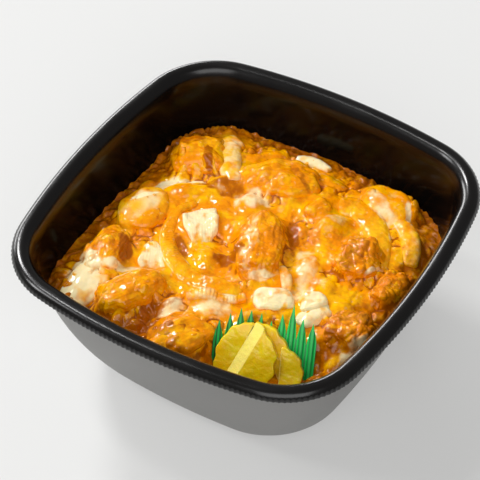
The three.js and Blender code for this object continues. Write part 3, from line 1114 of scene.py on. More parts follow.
def turned(points: Values, roll: float, tilt: float, turn: float) -> Values:
    """Turns points about the y, x and z axes, in that order.

    Args:
        points: Points in millimetres, one a row.
        roll: The turn about y.
        tilt: The turn about x.
        turn: The turn about z.

    Returns:
        The turned points.
    """
    turns = ((turn, "Z"), (tilt, "X"), (roll, "Y"))
    about_z, about_x, about_y = (Matrix.Rotation(math.radians(by), 3, axis) for by, axis in turns)
    return points @ np.array(about_z @ about_x @ about_y).T


@dataclass(frozen=True)
class Wrap:
    """How the egg rises round a piece: how far below its top it stays, and how unevenly."""

    below: float
    uneven: float


# Sizes and strengths of the painted shade at the feet and in the creases of pieces, in the sauce's
# brown, and how much of it egg white hides.
FOOT_EDGE = (-1.0, 2.5)
FOOT_WAVE = 1.5
FOOT_SAUCE = 0.75
CREASE_EDGE = (-1.2, -0.2)
CREASE_SAUCE = 0.6
SPOT_EDGE = (-0.55, 0.15)
SPOT_SHARES = (0.55, 0.45)
HIDDEN_SAUCE = 0.7


@dataclass
class Coating:
    """What lies on a piece: how much brown of sauce and painted shade it takes, and egg white,
    roughness and dark fibres.
    """

    sauce: float
    cream: Values | float = 0.0
    relief: Values | None = None
    grain: float = 0.2
    strand: Values | float = 0.0

    def spread(self, piece: Piece) -> None:
        """Writes where brown sauce with painted shade, and pale egg white with painted highlights,
        lie on a piece.

        Args:
            piece: The piece, with painted shade in brown at its foot and in the creases of its
                relief.
        """
        points = coordinates(piece)
        above = points[:, 2] - heap_height(points[:, 0], points[:, 1])
        # Painted shade: brown at the foot of the piece, where it sinks into the egg.
        foot = 1 - smoothstep(above + FOOT_WAVE * wander(points, 3.0, 5), *FOOT_EDGE)
        brown = patch_cover(points, SAUCE_PATCHES, SAUCE_SEED)
        brown = np.maximum(brown, FOOT_SAUCE * foot)
        if self.relief is not None:
            # Painted shade: brown in the creases of the piece's relief.
            crease = CREASE_SAUCE * (1 - smoothstep(self.relief, *CREASE_EDGE))
            brown = np.maximum(brown, crease)
        pale = patch_cover(points, CREAM_PATCHES, CREAM_SEED)
        spots = wander(points, 5.5, 9) + 0.35 * wander(points, 2.0, 8)
        least, gain = SPOT_SHARES
        spotted = least + gain * smoothstep(spots, *SPOT_EDGE)
        pale = np.maximum(pale, self.cream * (1 - foot) * spotted)
        write_attribute(piece, "grain", np.full(len(points), self.grain))
        write_attribute(piece, "strand", np.broadcast_to(self.strand, len(points)))
        write_food_colours(piece, brown * self.sauce, pale)


def write_food_colours(piece: Piece, brown: Values, pale: Values) -> None:
    """Keeps the brown of sauce and painted shade, and the pale of egg white and painted
    highlights, which hides most of the brown, with the mesh.
    """
    write_attribute(piece, "sauce", np.clip(brown * (1 - HIDDEN_SAUCE * pale), 0, 1))
    write_attribute(piece, "cream", np.clip(pale, 0, 1))


@dataclass
class InEgg:
    """A piece that lies in the egg."""

    name: str

    def shape(self) -> tuple[Piece, Coating]:
        """Makes the piece and says what lies on it."""
        raise NotImplementedError

    def build(self, finish: Material, slot: str) -> Piece:
        """Makes the piece and dresses it.

        Args:
            finish: Its material.
            slot: The record's material slot.

        Returns:
            The finished piece.
        """
        piece, coating = self.shape()
        coating.spread(piece)
        finished(piece, finish, slot, self.name)
        return piece


@dataclass(frozen=True)
class SkinForm:
    """How much of each form a skin has, how rough it is and how much brown of sauce and painted
    shade it takes.
    """

    soft: float
    grain: float
    sauce: float
    strands: float = 0.0
    curds: float = 0.0
    billows: float = 0.0


class Skin(Enum):
    """What the surface of a piece of meat or egg is like."""

    FIBROUS = SkinForm(1.1, 0.8, 0.9, strands=0.28, curds=0.15)
    ROUGH = SkinForm(0.9, 1.0, 1.0, strands=0.15, curds=0.42)
    GLAZED = SkinForm(1.2, 0.3, 0.65, strands=0.16, billows=0.5)
    SMOOTH = SkinForm(0.8, 0.1, 0.35)


FIBRE_SIZE = np.array([7.0, 1.3, 1.3])
STRAND_SIZE = np.array([6.0, 0.9, 0.9])
CURD_MIDDLE = 1.4


@dataclass
class Lump(InEgg):
    """A rounded lump of chicken or egg white: a superellipsoid whose surface swells and dips."""

    at: Pair
    size: Triple
    turn: float = 0.0
    tilt: float = 0.0
    seed: int = 1
    rough: float = 0.07
    sunk: float = 0.42
    skin: Skin = Skin.FIBROUS
    power: float = 2.5
    cream: float = 0.0

    def relief(self, local: Values, world: Values) -> Values:
        """The height of the skin's own relief.

        Args:
            local: Points in the piece's own frame, its length along x.
            world: The same points in place.

        Returns:
            How far each point moves out, in millimetres.
        """
        form = self.skin.value
        fibre = local / FIBRE_SIZE + 0.6 * wander(local, 5.0, self.seed)[:, None]
        relief = form.strands * wander(fibre, 1.0, self.seed)
        relief = relief + form.soft * wander(world, 6.0, self.seed + 3)
        if form.curds:
            relief = relief + form.curds * (curdled(world, self.seed) - CURD_MIDDLE)
        if form.billows:
            relief = relief + form.billows * (billow(world, 7.0, self.seed) - 0.5)
        return relief

    def shape(self) -> tuple[Piece, Coating]:
        """Makes the lump from a round ball.

        Returns:
            The piece and what lies on it.
        """
        ball_of = bpy.ops.mesh.primitive_ico_sphere_add
        piece = started(f"{self.name}_piece", ball_of, subdivisions=6, radius=1.0)
        ball = coordinates(piece) * MM
        ball /= np.linalg.norm(ball, axis=1)[:, None]
        powers = np.sum(np.abs(ball) ** self.power, axis=1)
        x, y, z = ball.T
        bumps = (
            np.sin(3.1 * x + 1.7 * self.seed) * np.sin(3.7 * y - 2.3 * self.seed)
            + 0.7 * np.sin(5.3 * z + 4.1 * x + self.seed)
            + 0.5 * np.sin(7.1 * y - 5.9 * z + 3 * self.seed)
        )
        radius = powers ** (-1 / self.power) * (1 + self.rough * bumps)
        local = ball * radius[:, None] * np.array(self.size) / 2
        points = turned(local, 0, self.tilt, self.turn) + settled(self.at, self.size[2], self.sunk)
        reshape_to(piece, points)
        relief = self.relief(local, points)
        outwards = read_rows(piece.data.vertex_normals, "vector")
        reshape_to(piece, inside_wall(points + outwards * relief[:, None]))
        strand = smoothstep(wander(local / STRAND_SIZE, 1.0, self.seed), 0.0, 0.35)
        strand = strand * (self.skin is not Skin.SMOOTH)
        form = self.skin.value
        return piece, Coating(form.sauce, self.cream, relief, form.grain, strand)


@dataclass
class Strip(InEgg):
    """A curved strip of onion or egg along a line of points, thinner towards its ends."""

    path: list[Pair]
    width: float
    height: float
    sunk: float = 0.38
    ribs: float = 0.0
    ribbed: Pair = (0.0, 1.0)
    rib_pitch: float = 1.5
    waves: float = 0.3
    cream: float = 0.0
    swells: Pair = (1.0, 1.0)
    end_width: float = 0.45
    end_power: int = 40
    roundness: float = 0.8
    edge_paleness: float = 0.6
    sauce: float = 0.5
    steps: int = 220
    sides: int = 64

    def curve(self, share: Values) -> Values:
        """Points of a smooth line through the path.

        Args:
            share: Places along it, from 0 to 1.

        Returns:
            One point a place.
        """
        knots = np.array([settled(point, self.height, self.sunk) for point in self.path])
        ends = [2 * knots[0] - knots[1], *knots, 2 * knots[-1] - knots[-2]]
        t = np.linspace(0, 1, 40, endpoint=False)[:, None]
        fine = [
            0.5 * (2 * start + (stop - before) * t)
            + 0.5 * (2 * before - 5 * start + 4 * stop - after) * t**2
            + 0.5 * (3 * start - before - 3 * stop + after) * t**3
            for before, start, stop, after in zip(ends, ends[1:], ends[2:], ends[3:])
        ]
        line = np.vstack([*fine, knots[-1:]])
        length = np.concatenate([[0], np.cumsum(np.linalg.norm(np.diff(line, axis=0), axis=1))])
        along = share * length[-1]
        return np.column_stack([np.interp(along, length, line[:, axis]) for axis in range(3)])

    def shape(self) -> tuple[Piece, Coating]:
        """Wraps a grid round the line.

        Returns:
            The piece and what lies on it.
        """
        piece, around, along = grid_sheet(f"{self.name}_piece", self.sides, self.steps)
        t = np.clip(along, 0, 1)
        centre = self.curve(t)
        ahead = self.curve(np.minimum(t + 0.004, 1)) - self.curve(np.maximum(t - 0.004, 0))
        ahead /= np.linalg.norm(ahead, axis=1)[:, None]
        across = np.cross([0.0, 0.0, 1.0], ahead)
        across /= np.linalg.norm(across, axis=1)[:, None]
        rise = np.cross(ahead, across)
        taper = blend(self.end_width, 1.0, np.sin(math.pi * (0.08 + 0.84 * t)) ** 0.6)
        end = np.sqrt(np.clip(1 - ((2 * t - 1) ** self.end_power), 0, 1))
        angle = 2 * math.pi * (around % 1.0)
        cos, sin = np.cos(angle), np.sin(angle)
        round_cos = np.sign(cos) * np.abs(cos) ** self.roundness
        round_sin = np.sign(sin) * np.abs(sin) ** self.roundness
        line = self.curve(np.linspace(0, 1, 60))
        length = np.linalg.norm(np.diff(line, axis=0), axis=1).sum()
        first, last = self.ribbed
        ribbed = smoothstep(t, first - 0.06, first + 0.06)
        ribbed = ribbed * (1 - smoothstep(t, last - 0.06, last + 0.06))
        phase = 2 * math.pi * (t * length + 0.5 * wander(centre, 4.0, 3)) / self.rib_pitch
        rib = self.ribs * np.sin(phase) * smoothstep(sin, -0.2, 0.5) * ribbed
        half_width = (self.width / 2) * taper * end * blend(self.swells[0], self.swells[1], t)
        half_height = (self.height / 2) * taper * end
        points = centre + across * (round_cos * half_width)[:, None]
        points += rise * (round_sin * half_height + rib * end)[:, None]
        swing = self.waves * wander(points, 5.0, len(self.name))
        fine = 0.8 * self.waves * wander(points, 2.2, len(self.name) + 1)
        points[:, 2] += (swing + fine) * smoothstep(sin, -0.3, 0.6)
        reshape_to(piece, inside_wall(points))
        flank = np.abs(cos)
        edge = self.edge_paleness * smoothstep(flank, 0.66, 0.84)
        edge = edge * (1 - smoothstep(flank, 0.9, 0.97))
        broken = smoothstep(wander(points, 9.0, 2), -0.4, 0.2)
        write_attribute(piece, "edge", edge * smoothstep(sin, 0.0, 0.3) * broken)
        close_seams(piece)
        pale = read_rows(piece.data.attributes["edge"].data, "value", 1).ravel()
        return piece, Coating(self.sauce, np.maximum(self.cream, pale))


@dataclass
class Slab(InEgg):
    """A slice of an onion layer: a slab that curls about its width, with soft corners."""

    at: Pair
    size: Triple
    turn: float = 0.0
    roll: float = 0.0
    curl: float = 30.0
    wave: float = 0.4
    sunk: float = 0.2
    lines: float = 0.05
    line_pitch: float = 1.1
    cream: float = 0.85
    narrowed: float = 0.12
    corner_cut: float = 0.22
    softness: float = 0.38
    streak: float = 0.35
    sauce: float = 0.5
    voxel: float = 0.28

    def shape(self) -> tuple[Piece, Coating]:
        """Shapes the slab from a cube.

        Returns:
            The piece and what lies on it.
        """
        length, width, thickness = self.size
        piece = started(f"{self.name}_piece", bpy.ops.mesh.primitive_cube_add, size=2.0)
        reshape_to(piece, coordinates(piece) * MM * np.array(self.size) / 2)
        soft = thickness * self.softness * MM
        bevel = partial(bpy.ops.mesh.bevel, offset=soft, segments=4, profile=0.5)
        edit_whole(piece, bevel, bpy.ops.mesh.quads_convert_to_tris)
        even_faces(piece, self.voxel, 6)
        local = coordinates(piece)
        x, y, z = local.T
        along, across = x / (length / 2), y / (width / 2)
        uneven = 1 + 0.8 * np.sin(2 * along + 3 * across + self.turn)
        corner = 1 - self.corner_cut * along**2 * across**2 * uneven
        x = x * corner
        y = y * corner * (1 - self.narrowed * along)
        lift = -(x**2) / (2 * self.curl) + self.wave * np.sin(2.4 * along + 1.9 * across)
        grooves = np.sin(y * 2 * math.pi / self.line_pitch + 0.8 * np.sin(x / 3))
        z = z + lift + self.lines * grooves * (z > 0)
        z = z + 0.7 * wander(local, 5.0, self.turn) + 0.2 * wander(local, 2.0, self.turn)
        x = x + 1.5 * wander(local, 6.0, self.turn + 1)
        y = y + 1.5 * wander(local, 6.0, self.turn + 2)
        shaped = turned(np.column_stack([x, y, z]), self.roll, 0, self.turn)
        reshape_to(piece, inside_wall(shaped + settled(self.at, thickness, self.sunk)))
        fibre = wander(np.column_stack([x / 5, y / 2.2, z / 5]), 1.0, self.turn)
        streaked = 1 - self.streak * smoothstep(fibre, 0.0, 0.7)
        return piece, Coating(self.sauce, self.cream * streaked)


# The pickles and their divider

DIVIDER_TURN = math.degrees(math.atan2(DIVIDER_ALONG[1], DIVIDER_ALONG[0]))


@dataclass
class RadishSlice:
    """Half a round slice of pickled radish, with a wavy skin and one straight cut."""

    name: str
    at: Triple
    chord: float
    reach: float
    spin: float
    thickness: float = 3.6
    tilt: float = 50.0
    shaded: float = 0.0
    slant: float = 0.0
    voxel: float = 0.3

    def build(self, finish: Material) -> None:
        """Shapes the slice from a disc.

        Args:
            finish: Its material.
        """
        disc = partial(bpy.ops.mesh.primitive_circle_add, vertices=160, fill_type="NGON")
        piece = started(f"{self.name}_piece", disc, radius=1.0)
        flat = coordinates(piece) * MM
        angle = np.arctan2(flat[:, 1], flat[:, 0])
        on_arc = angle >= -1e-6
        wavy = np.where(on_arc, 1 + 0.025 * np.sin(9 * angle) + 0.02 * np.sin(15 * angle + 1), 1)
        x = (self.chord / 2) * np.cos(angle) * wavy
        y = np.where(on_arc, self.reach * np.sin(angle) * wavy, 0.0) - self.reach / 2
        reshape_to(piece, np.column_stack([x, y, np.full(len(x), -self.thickness / 2)]))
        upwards = {"value": (0, 0, self.thickness * MM)}
        extrude = partial(bpy.ops.mesh.extrude_region_move, TRANSFORM_OT_translate=upwards)
        edit_whole(piece, extrude)
        edit_whole(piece, bpy.ops.mesh.normals_make_consistent)
        even_faces(piece, self.voxel, 3)
        local = coordinates(piece)
        cut_line = self.slant * (local[:, 2] / self.thickness + 0.5) - self.reach / 2
        on_cut = 1 - smoothstep(local[:, 1] - cut_line, 0.1, 0.45)
        local[:, 1] = np.maximum(local[:, 1], cut_line)
        local[:, 2] += 0.5 * wander(local, 7.0, self.spin) + 0.12 * wander(local, 1.6, self.spin)
        shade = self.shaded * smoothstep(wander(local, 9.0, self.chord), -0.3, 0.4)
        local = turned(local, 0, 0, self.spin)
        points = turned(local, 0, self.tilt, DIVIDER_TURN) + np.array(self.at)
        reshape_to(piece, inside_wall(points))
        write_attribute(piece, "cut", np.clip(on_cut, 0, 1))
        write_attribute(piece, "shade", shade)
        finished(piece, finish, "pickled_radish", self.name)


@dataclass
class LeafDivider:
    """The green divider: a folded sheet cut into pointed teeth, which leans on the egg."""

    foot: float = 38.0
    depth: float = 4.0
    bow: float = 0.8
    lean: Pair = (38.0, 42.0)
    thickness: float = 0.25
    fold: float = 0.4
    vein_depth: float = 0.16
    veins_a_tooth: int = 3
    tooth_length: float = 9.5
    tips: tuple[float, ...] = (19.7, 23.2, 26, 25.7, 25, 22.2, 25.6, 29.7, 24.3, 22.4)
    columns_a_tooth: int = 24
    rows: int = 60

    def top(self, t: Values) -> Values:
        """The height of the cut edge.

        Args:
            t: Places along the sheet, from 0 to 1.

        Returns:
            One height a place.
        """
        last = len(self.tips) - 1
        place = np.clip(t * len(self.tips), 0, len(self.tips) - 1e-6)
        tooth = place.astype(int)
        tips = np.array(self.tips)
        beside = np.where(place % 1 < 0.5, np.maximum(tooth - 1, 0), np.minimum(tooth + 1, last))
        valley = np.minimum(tips[tooth], tips[beside]) - self.tooth_length
        share = 1 - 2 * np.abs(place % 1 - 0.5)
        return blend(valley, tips[tooth], share**0.8)

    def build(self, finish: Material) -> None:
        """Shapes the sheet from a grid and gives it its thickness.

        Args:
            finish: Its material.
        """
        columns = self.columns_a_tooth * len(self.tips)
        piece, along, up = grid_sheet("leaf_divider_film", columns, self.rows)
        length = float(np.hypot(*(DIVIDER_END - DIVIDER_START)))
        place = along * len(self.tips)
        share = 1 - 2 * np.abs(place % 1 - 0.5)
        vein = np.cos(2 * math.pi * place * self.veins_a_tooth)
        reach = blend(-self.depth, self.top(along), up)
        tilt = np.radians(blend(self.lean[0], self.lean[1], along))
        folded = self.fold * (2 * share - 1)
        forward = self.bow * 4 * along * (1 - along) + folded + self.vein_depth * vein
        back = forward - np.sin(tilt) * reach
        shift = along * length
        points = np.column_stack([
            DIVIDER_START[0] + DIVIDER_ALONG[0] * shift + DIVIDER_FRONT[0] * back,
            DIVIDER_START[1] + DIVIDER_ALONG[1] * shift + DIVIDER_FRONT[1] * back,
            self.foot + np.cos(tilt) * reach,
        ])
        reshape_to(piece, points)
        # Painted shade: the left part of the sheet darker, written with the veins.
        shadow = 0.45 * (1 - smoothstep(along, 0.35, 0.62))
        dark = 0.75 * smoothstep(vein, 0.2, 0.95) + shadow
        write_attribute(piece, "vein", np.clip(dark, 0, 1))
        apply_modifier(piece, "SOLIDIFY", thickness=self.thickness * MM, offset=0.0)
        finished(piece, finish, "green_film", "leaf_divider")


# The heap of egg


@dataclass
class EggHeap:
    """Half-set egg: smooth glazed folds and crumbly curds, which rise round the pieces in it."""

    cells: int = 290
    soft_passes: int = 36
    sharp_passes: int = 3
    sharp_drop: float = 0.3
    ray_start: float = 90.0
    curdy_scale: float = 15.0
    curdy_edge: Pair = (-0.1, 0.35)
    glaze_on_curds: float = 0.85
    glaze_on_folds: float = 0.4
    fold_warp: float = 2.5
    fold_scale: float = 6.5
    curd_gain: float = 1.35
    near_wall: float = 0.8
    crease_sauce: float = 0.95
    thin_sauce: float = 0.75
    edge_sauce: float = 0.65
    cream_spots: float = 0.3
    strands: float = 0.7
    skirt: tuple[float, ...] = (30.0, 18.0, 8.0, 2.0)

    def blurred(self, values: Values, passes: int) -> Values:
        """Evens out the values of the grid's vertices.

        Args:
            values: One value a vertex.
            passes: How often it is done.

        Returns:
            The evened values.
        """
        square = values.reshape(self.cells + 1, self.cells + 1)
        for _ in range(2 * passes):
            padded = np.pad(square, ((1, 1), (0, 0)), mode="edge")
            square = (0.25 * padded[:-2] + 0.5 * padded[1:-1] + 0.25 * padded[2:]).T
        return square.ravel()

    def risen(self, flat: Values, height: Values, pieces: list[tuple[Piece, Wrap]]) -> Values:
        """Lets the egg rise round the pieces in it.

        Args:
            flat: The grid's vertices on the plan.
            height: The heap's own height at each of them.
            pieces: The pieces, each with how the egg wraps it.

        Returns:
            The height of the egg at each vertex.
        """
        top = np.full(len(flat), -1.0)
        cover = wander(flat, 5.0, 3) + 0.35 * wander(flat, 2.2, 4)
        for piece, wrap in pieces:
            tree = BVHTree.FromObject(piece, bpy.context.evaluated_depsgraph_get())
            corners = coordinates(piece)[:, :2]
            near = (flat[:, :2] > corners.min(axis=0)) & (flat[:, :2] < corners.max(axis=0))
            for index in np.nonzero(near.all(axis=1))[0]:
                above = Vector(np.array([*flat[index, :2], self.ray_start]) * MM)
                place = tree.ray_cast(above, Vector((0, 0, -1)))[0]
                if place:
                    level = place.z / MM - wrap.below + wrap.uneven * cover[index]
                    top[index] = max(top[index], level)
        wrapped = np.maximum(height, top)
        soft = self.blurred(wrapped, self.soft_passes)
        sharp = self.blurred(wrapped, self.sharp_passes) - self.sharp_drop
        return np.maximum(np.maximum(soft, sharp), height)

    def build(self, finish: Material, pieces: list[tuple[Piece, Wrap]]) -> None:
        """Shapes the heap from a grid.

        Args:
            finish: Its material.
            pieces: The pieces that lie in it, each with how the egg wraps it.
        """
        piece, u, v = grid_sheet("set_egg_heap", self.cells, self.cells)
        a, b = 2 * u - 1, 2 * v - 1
        fraction = np.maximum(np.abs(a), np.abs(b))
        angle = np.arctan2(b, a)
        reach = EDGE_LEVEL.reach(angle) * fraction
        x, y = reach * np.cos(angle), reach * np.sin(angle)
        flat = np.column_stack([x, y, np.zeros(len(x))])
        shares = [mound.share(x, y) for mound in MOUNDS]
        mound = np.max([each.height * share for each, share in zip(MOUNDS, shares)], axis=0)
        glazed = np.max([smoothstep(share, 0.0, 0.5) for share in shares], axis=0)
        raised = self.risen(flat, heap_height(x, y) + mound, pieces)

        curdy = wander(flat, self.curdy_scale, 11) + 0.9 * (fraction - 0.55)
        curdy = smoothstep(curdy, *self.curdy_edge) * (1 - self.glaze_on_curds * glazed)
        warp = np.column_stack([wander(flat, 5.0, 21), wander(flat, 5.0, 22), np.zeros(len(x))])
        bent = flat + self.fold_warp * warp
        folds = 0.8 * wander(bent, self.fold_scale, 41)
        folds = folds + 0.5 * billow(bent * np.array([1, 0.45, 1]), 4.0, 42)
        curds = self.curd_gain * (curdled(flat, 31) - 1.3)
        relief = blend(folds * (1 - self.glaze_on_folds * glazed), curds, curdy)
        inner = 1 - smoothstep(fraction, 0.985, 1.0)
        z = self.blurred(raised + relief * blend(0.5, 1.0, inner), 1)

        wall = Level.of_wall(EDGE_HEIGHT, WALL - 0.3).reach(angle)
        slope = (Level.of_wall(50, WALL).half - Level.of_wall(35, WALL).half) / 15
        stretched = (wall + slope * (z - EDGE_HEIGHT)) * fraction
        near_wall = smoothstep(fraction, self.near_wall, 1.0)
        x = blend(x, stretched * np.cos(angle), near_wall)
        y = blend(y, stretched * np.sin(angle), near_wall)
        points = np.column_stack([x, y, z])
        reshape_to(piece, points)

        # Painted shade, in the brown of the sauce: darker in the heap's hollows and creases.
        hollow = smoothstep(self.blurred(z, 20) - z, 0.15, 1.2)
        crease = self.crease_sauce * smoothstep(self.blurred(z, 4) - z, 0.06, 0.3)
        # Browner in patches towards the wall, and all round the outer edge of the heap.
        thin = self.thin_sauce * smoothstep(wander(flat, 11.0, 51), 0.05, 0.5)
        thin = thin * smoothstep(fraction, 0.55, 0.95)
        uneven = fraction + 0.06 * wander(flat, 7.0, 52)
        edge = self.edge_sauce * smoothstep(uneven, 0.82, 0.95)
        patch = patch_cover(points, SAUCE_PATCHES, SAUCE_SEED)
        pale = patch_cover(points, CREAM_PATCHES, CREAM_SEED)
        spots = self.cream_spots * smoothstep(wander(flat, 8.0, 61), 0.42, 0.65)
        pale = np.maximum(pale, spots)
        lines = wander(bent * np.array([0.2, 0.75, 1.0]), 1.0, 71)
        write_attribute(piece, "grain", np.clip(0.25 + curdy, 0, 1))
        write_attribute(piece, "strand", self.strands * smoothstep(lines, 0.05, 0.4))
        write_food_colours(piece, np.maximum.reduce([hollow, crease, patch, thin, edge]), pale)
        self.close_below(piece)
        finished(piece, finish, "set_egg", "egg_heap")

    def close_below(self, piece: Piece) -> None:
        """Carries the edge down along the wall and closes the heap at the bowl's floor.

        Args:
            piece: The heap.
        """
        bpy.ops.object.mode_set(mode="EDIT")
        bpy.ops.mesh.select_mode(type="EDGE")
        bpy.ops.mesh.select_all(action="DESELECT")
        bpy.ops.mesh.select_non_manifold()
        for height in self.skirt:
            bpy.ops.mesh.extrude_edges_move()
            bpy.ops.object.mode_set(mode="OBJECT")
            points = coordinates(piece)
            chosen = np.array([vertex.select for vertex in piece.data.vertices])
            angle = np.arctan2(points[chosen, 1], points[chosen, 0])
            ring = Level.of_wall(height, WALL + WALL_GAP).reach(angle)
            level = np.full(len(ring), height)
            points[chosen] = np.column_stack([ring * np.cos(angle), ring * np.sin(angle), level])
            reshape_to(piece, points)
            bpy.ops.object.mode_set(mode="EDIT")
        bpy.ops.mesh.edge_face_add()
        bpy.ops.mesh.select_all(action="SELECT")
        bpy.ops.mesh.normals_make_consistent(inside=False)
        bpy.ops.object.mode_set(mode="OBJECT")


# The studio


@dataclass(frozen=True)
class SoftLight:
    """A large soft light, placed by the direction that it comes from."""

    name: str
    azimuth: float
    elevation: float
    distance: float
    width: float
    height: float
    power: float

    def build(self) -> None:
        """Adds the light, turned to the bowl."""
        turn, rise = math.radians(self.azimuth), math.radians(self.elevation)
        flat = math.cos(rise)
        way = Vector((math.cos(turn) * flat, math.sin(turn) * flat, math.sin(rise)))
        data = bpy.data.lights.new(self.name, "AREA")
        data.shape = "RECTANGLE"
        data.size, data.size_y = self.width, self.height
        data.energy = self.power
        light = bpy.data.objects.new(self.name, data)
        light.location = way * self.distance
        light.rotation_euler = (-way).to_track_quat("-Z", "Y").to_euler()
        bpy.context.collection.objects.link(light)


@dataclass
class Studio:
    """A pale floor, soft light from the left and back, and the camera of the photograph.

    The camera's elevation and roll are radians.
    """

    world: float = 0.22
    focal_pixels: float = 2176.247
    frame_pixels: float = 480.0
    azimuth: float = 32.6
    elevation: float = 0.817
    roll: float = 0.026
    distance: float = 957.614
    aside: float = -3.604
    above: float = 38.081
    sensor: float = 36.0
    floor_size: float = 8.0
    floor_colour: Colour = linear(178, 178, 177)
    floor_glow: float = 0.3
    lights: tuple[SoftLight, ...] = (
        SoftLight("key_softbox", 157, 43, 3.0, 0.6, 0.5, 45.0),
        SoftLight("high_light", 180, 62, 3.0, 0.3, 0.3, 12.0),
        SoftLight("left_softbox", 208, 42, 3.0, 0.7, 0.7, 22.0),
        SoftLight("low_strip", 150, 11, 3.0, 2.6, 0.6, 56.0),
        SoftLight("front_fill", 300, 42, 3.0, 2.6, 2.0, 46.0),
    )

    def add_floor(self) -> None:
        """Adds the floor that the bowl stands on."""
        floor = started("studio_floor", bpy.ops.mesh.primitive_plane_add, size=self.floor_size)
        chain = NodeChain("pale_floor")
        chain.shade({
            "Base Color": self.floor_colour,
            "Emission Color": (1.0, 1.0, 0.99, 1.0),
            "Emission Strength": self.floor_glow,
            "Roughness": 0.9,
            "Specular IOR Level": 0.0,
        })
        floor.data.materials.append(chain.material)

    def add_camera(self) -> None:
        """Adds the camera where the photograph was taken from."""
        turn = math.radians(self.azimuth)
        right = Vector((math.cos(turn), math.sin(turn), 0))
        level = Vector((-math.sin(turn), math.cos(turn), 0))
        forward = math.cos(self.elevation) * level - math.sin(self.elevation) * Vector((0, 0, 1))
        up = math.sin(self.elevation) * level + math.cos(self.elevation) * Vector((0, 0, 1))
        place = (-self.distance * forward + self.aside * right + self.above * up) * MM
        cos, sin = math.cos(self.roll), math.sin(self.roll)
        side, top = right * cos - up * sin, right * sin + up * cos
        data = bpy.data.cameras.new("photo_camera")
        data.sensor_width = self.sensor
        data.lens = self.focal_pixels / self.frame_pixels * self.sensor
        data.clip_start, data.clip_end = 0.05, 20.0
        camera = bpy.data.objects.new("photo_camera", data)
        camera.matrix_world = Matrix((side, top, -forward)).transposed().to_4x4()
        camera.location = place
        bpy.context.collection.objects.link(camera)
        bpy.context.scene.camera = camera

    def build(self) -> None:
        """Sets up the floor, the world, the lights and the camera."""
        self.add_camera()
        self.add_floor()
        for light in self.lights:
            light.build()
        world = bpy.data.worlds.new("pale_room")
        world.use_nodes = True
        background = world.node_tree.nodes["Background"]
        background.inputs["Color"].default_value = (1, 1, 1, 1)
        background.inputs["Strength"].default_value = self.world
        scene = bpy.context.scene
        scene.world = world
        scene.view_settings.view_transform = "Standard"
        LOG.info("studio: %d lights", len(self.lights))


# What lies in the bowl

GOLDEN_CHICKEN = [
    Lump("chicken_back", (-9.2, 42), (33, 21, 14), 28, 8, 4, skin=Skin.GLAZED),
    Lump("chicken_back_left", (-48.7, 38.3), (25, 22, 15), 32, 0, 5, skin=Skin.GLAZED),
    Lump("chicken_left", (-29.2, -46.2), (30, 17, 15), 57, 0, 8, 0.04, skin=Skin.GLAZED),
    Lump("chicken_front_left", (-0.5, -55), (26, 20, 12), 57, 0, 10, skin=Skin.GLAZED),
    Lump("chicken_back_right", (36.2, 55.7), (27, 19, 11), -8, 0, 11, 0.04, skin=Skin.SMOOTH),
    Lump("chicken_bit", (13, 35.3), (13, 10, 8), 60, 0, 14, skin=Skin.GLAZED),
]

CHICKEN = [
    Lump("chicken_centre", (4.2, 3), (38, 21, 16), 114, 0, 6, skin=Skin.FIBROUS),
    Lump("chicken_right", (42.8, 17.8), (23, 18, 15), 100, 0, 7, 0.1, skin=Skin.ROUGH),
    Lump("chicken_far_left", (-50.7, -31.3), (24, 16, 13), 94, 0, 9, skin=Skin.FIBROUS),
    Lump("chicken_front_right", (57.6, -16.6), (22, 15, 13), 62, 0, 12, 0.1, skin=Skin.ROUGH),
    Lump("chicken_right_edge", (60.5, 13), (20, 12, 11), 85, 0, 13, 0.1, skin=Skin.ROUGH),
]

EGG_WHITES = [
    Lump("egg_white_left", (-52.1, -1.7), (27, 20, 9.5), 86, 0, 1, 0.04, skin=Skin.SMOOTH),
    Lump(
        "egg_white_front_left", (-48.6, -52.6), (27, 17, 7), 90, 0, 2, 0.09,
        skin=Skin.SMOOTH, cream=0.7,
    ),
    Lump(
        "egg_white_front_right", (41.9, -17.3), (16, 9, 7), 61, 0, 3, 0.05,
        skin=Skin.SMOOTH, cream=1.0,
    ),
]

ONION_SLABS = [
    Slab("onion_fold", (-23.6, -0.4), (22, 14.5, 4), -52, 12, 18, narrowed=0.3),
    Slab("onion_square", (-33.4, -23.8), (16, 11, 3.4), 123, -8),
    Slab("onion_block_front", (23.9, -19.2), (17, 12, 6), 30, 4),
    Slab("onion_block_right", (38.9, -12), (11, 10, 5), 40, 6),
]

ONION_STRIPS = [
    Strip(
        "onion_ring",
        [(-34.3, 14.1), (-38.2, 5.6), (-36.5, -5.7), (-30.9, -15.2)]
        + [(-22.5, -22.1), (-12.1, -25.6), (-0.9, -25.4), (10.3, -21.5)],
        9, 5, 0.5, ribs=0.1, ribbed=(0.28, 0.55), swells=(0.55, 1.35),
    ),
    Strip(
        "onion_column", [(-39.5, 57.2), (-41.1, 51.3), (-35.3, 41.1), (-25.7, 30.6)],
        10, 7, waves=0.1, cream=0.42, swells=(1.4, 0.95),
    ),
    Strip("onion_sliver", [(17.4, -2.6), (22.2, -6.5), (26, -12)], 5, 4, cream=0.45),
    Strip(
        "onion_crescent",
        [(19.2, 42.7), (25.6, 46.1), (35, 42.6), (43.9, 34.3), (50.6, 23.1), (51.2, 8.4)],
        13, 6, 0.48, swells=(1.2, 0.5),
    ),
    Strip(
        "onion_curve_right", [(45.3, 49), (51.6, 45.4), (57.5, 38.1), (61.5, 29.5)],
        9, 7, cream=0.28,
    ),
    Strip("onion_strip_back", [(-12.6, 60.8), (-5.2, 62.2), (4.3, 61.7)], 6, 5, cream=0.8),
]

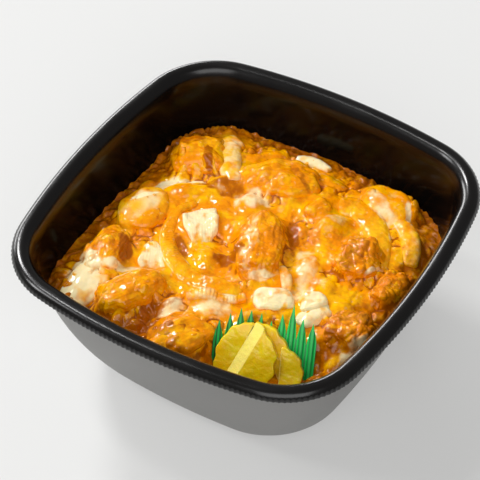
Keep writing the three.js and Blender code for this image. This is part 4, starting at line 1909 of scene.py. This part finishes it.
EGG_STRIPS = [
    Strip(
        "egg_strip", [(-8.5, -36.1), (-2.2, -31.3), (5.3, -27.8), (12.6, -22.8)],
        6, 5, ribs=0.08, cream=0.5,
    ),
]

RADISH = [
    RadishSlice("radish_slice_1", (33.1, -50.8, 44.9), 31.7, 16.9, -115, slant=4.4),
    RadishSlice("radish_slice_2", (47.3, -44.7, 42.7), 21, 9.6, -89, shaded=1.0),
    RadishSlice("radish_slice_3", (20.4, -48.8, 46.1), 27.6, 9.9, 71),
    RadishSlice("radish_slice_4", (38.1, -40.4, 47.9), 26.7, 9.1, -60, shaded=0.3),
]

SET_EGG = (linear(246, 150, 0), linear(255, 186, 0))
GOLDEN_FINISH = FoodFinish(
    "glazed_chicken", linear(252, 152, 0), linear(255, 178, 4), patch_scale=160.0
)
CHICKEN_FINISH = FoodFinish(
    "simmered_chicken", linear(242, 140, 0), linear(254, 170, 0), patch_scale=160.0
)
ONION_FINISH = FoodFinish("soft_onion", linear(244, 152, 0), linear(254, 188, 20), glow=0.25)
WHITE_FINISH = FoodFinish(
    "set_egg_white", linear(248, 158, 0), linear(254, 184, 24),
    glow=0.3, roughness=0.3, wetness=0.9, cream_scale=90.0, cream_detail=1.0,
)


@dataclass(frozen=True)
class Helping:
    """Pieces of one kind, with their finish, slot and how the egg wraps them."""

    parts: list[InEgg]
    finish: FoodFinish
    slot: str
    wrap: Wrap

    def build(self) -> list[tuple[Piece, Wrap]]:
        """Builds the pieces.

        Returns:
            Each piece with how the egg wraps it.
        """
        material = self.finish.material()
        return [(part.build(material, self.slot), self.wrap) for part in self.parts]


HELPINGS = [
    Helping(GOLDEN_CHICKEN, GOLDEN_FINISH, "chicken", Wrap(0.5, 1.5)),
    Helping(CHICKEN, CHICKEN_FINISH, "chicken", Wrap(0.5, 1.5)),
    Helping(EGG_WHITES, WHITE_FINISH, "egg_white", Wrap(0.8, 0.4)),
    Helping(ONION_SLABS, ONION_FINISH, "onion", Wrap(1.2, 0.7)),
    Helping(ONION_STRIPS, ONION_FINISH, "onion", Wrap(1.4, 0.7)),
    Helping(EGG_STRIPS, FoodFinish("set_egg_surface", *SET_EGG), "set_egg", Wrap(0.9, 0.7)),
]


def main() -> None:
    """Builds the studio, the bowl and its food in order."""
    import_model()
    Studio().build()
    Bowl().build()
    pieces = [pair for helping in HELPINGS for pair in helping.build()]
    EggHeap().build(FoodFinish("heap_egg_surface", *SET_EGG).material(), pieces)
    radish = RadishFinish().material()
    for radish_slice in RADISH:
        radish_slice.build(radish)
    LeafDivider().build(LeafFinish().material())


if __name__ == "__main__":
    logging.basicConfig(level=logging.INFO, format="%(message)s")
    main()
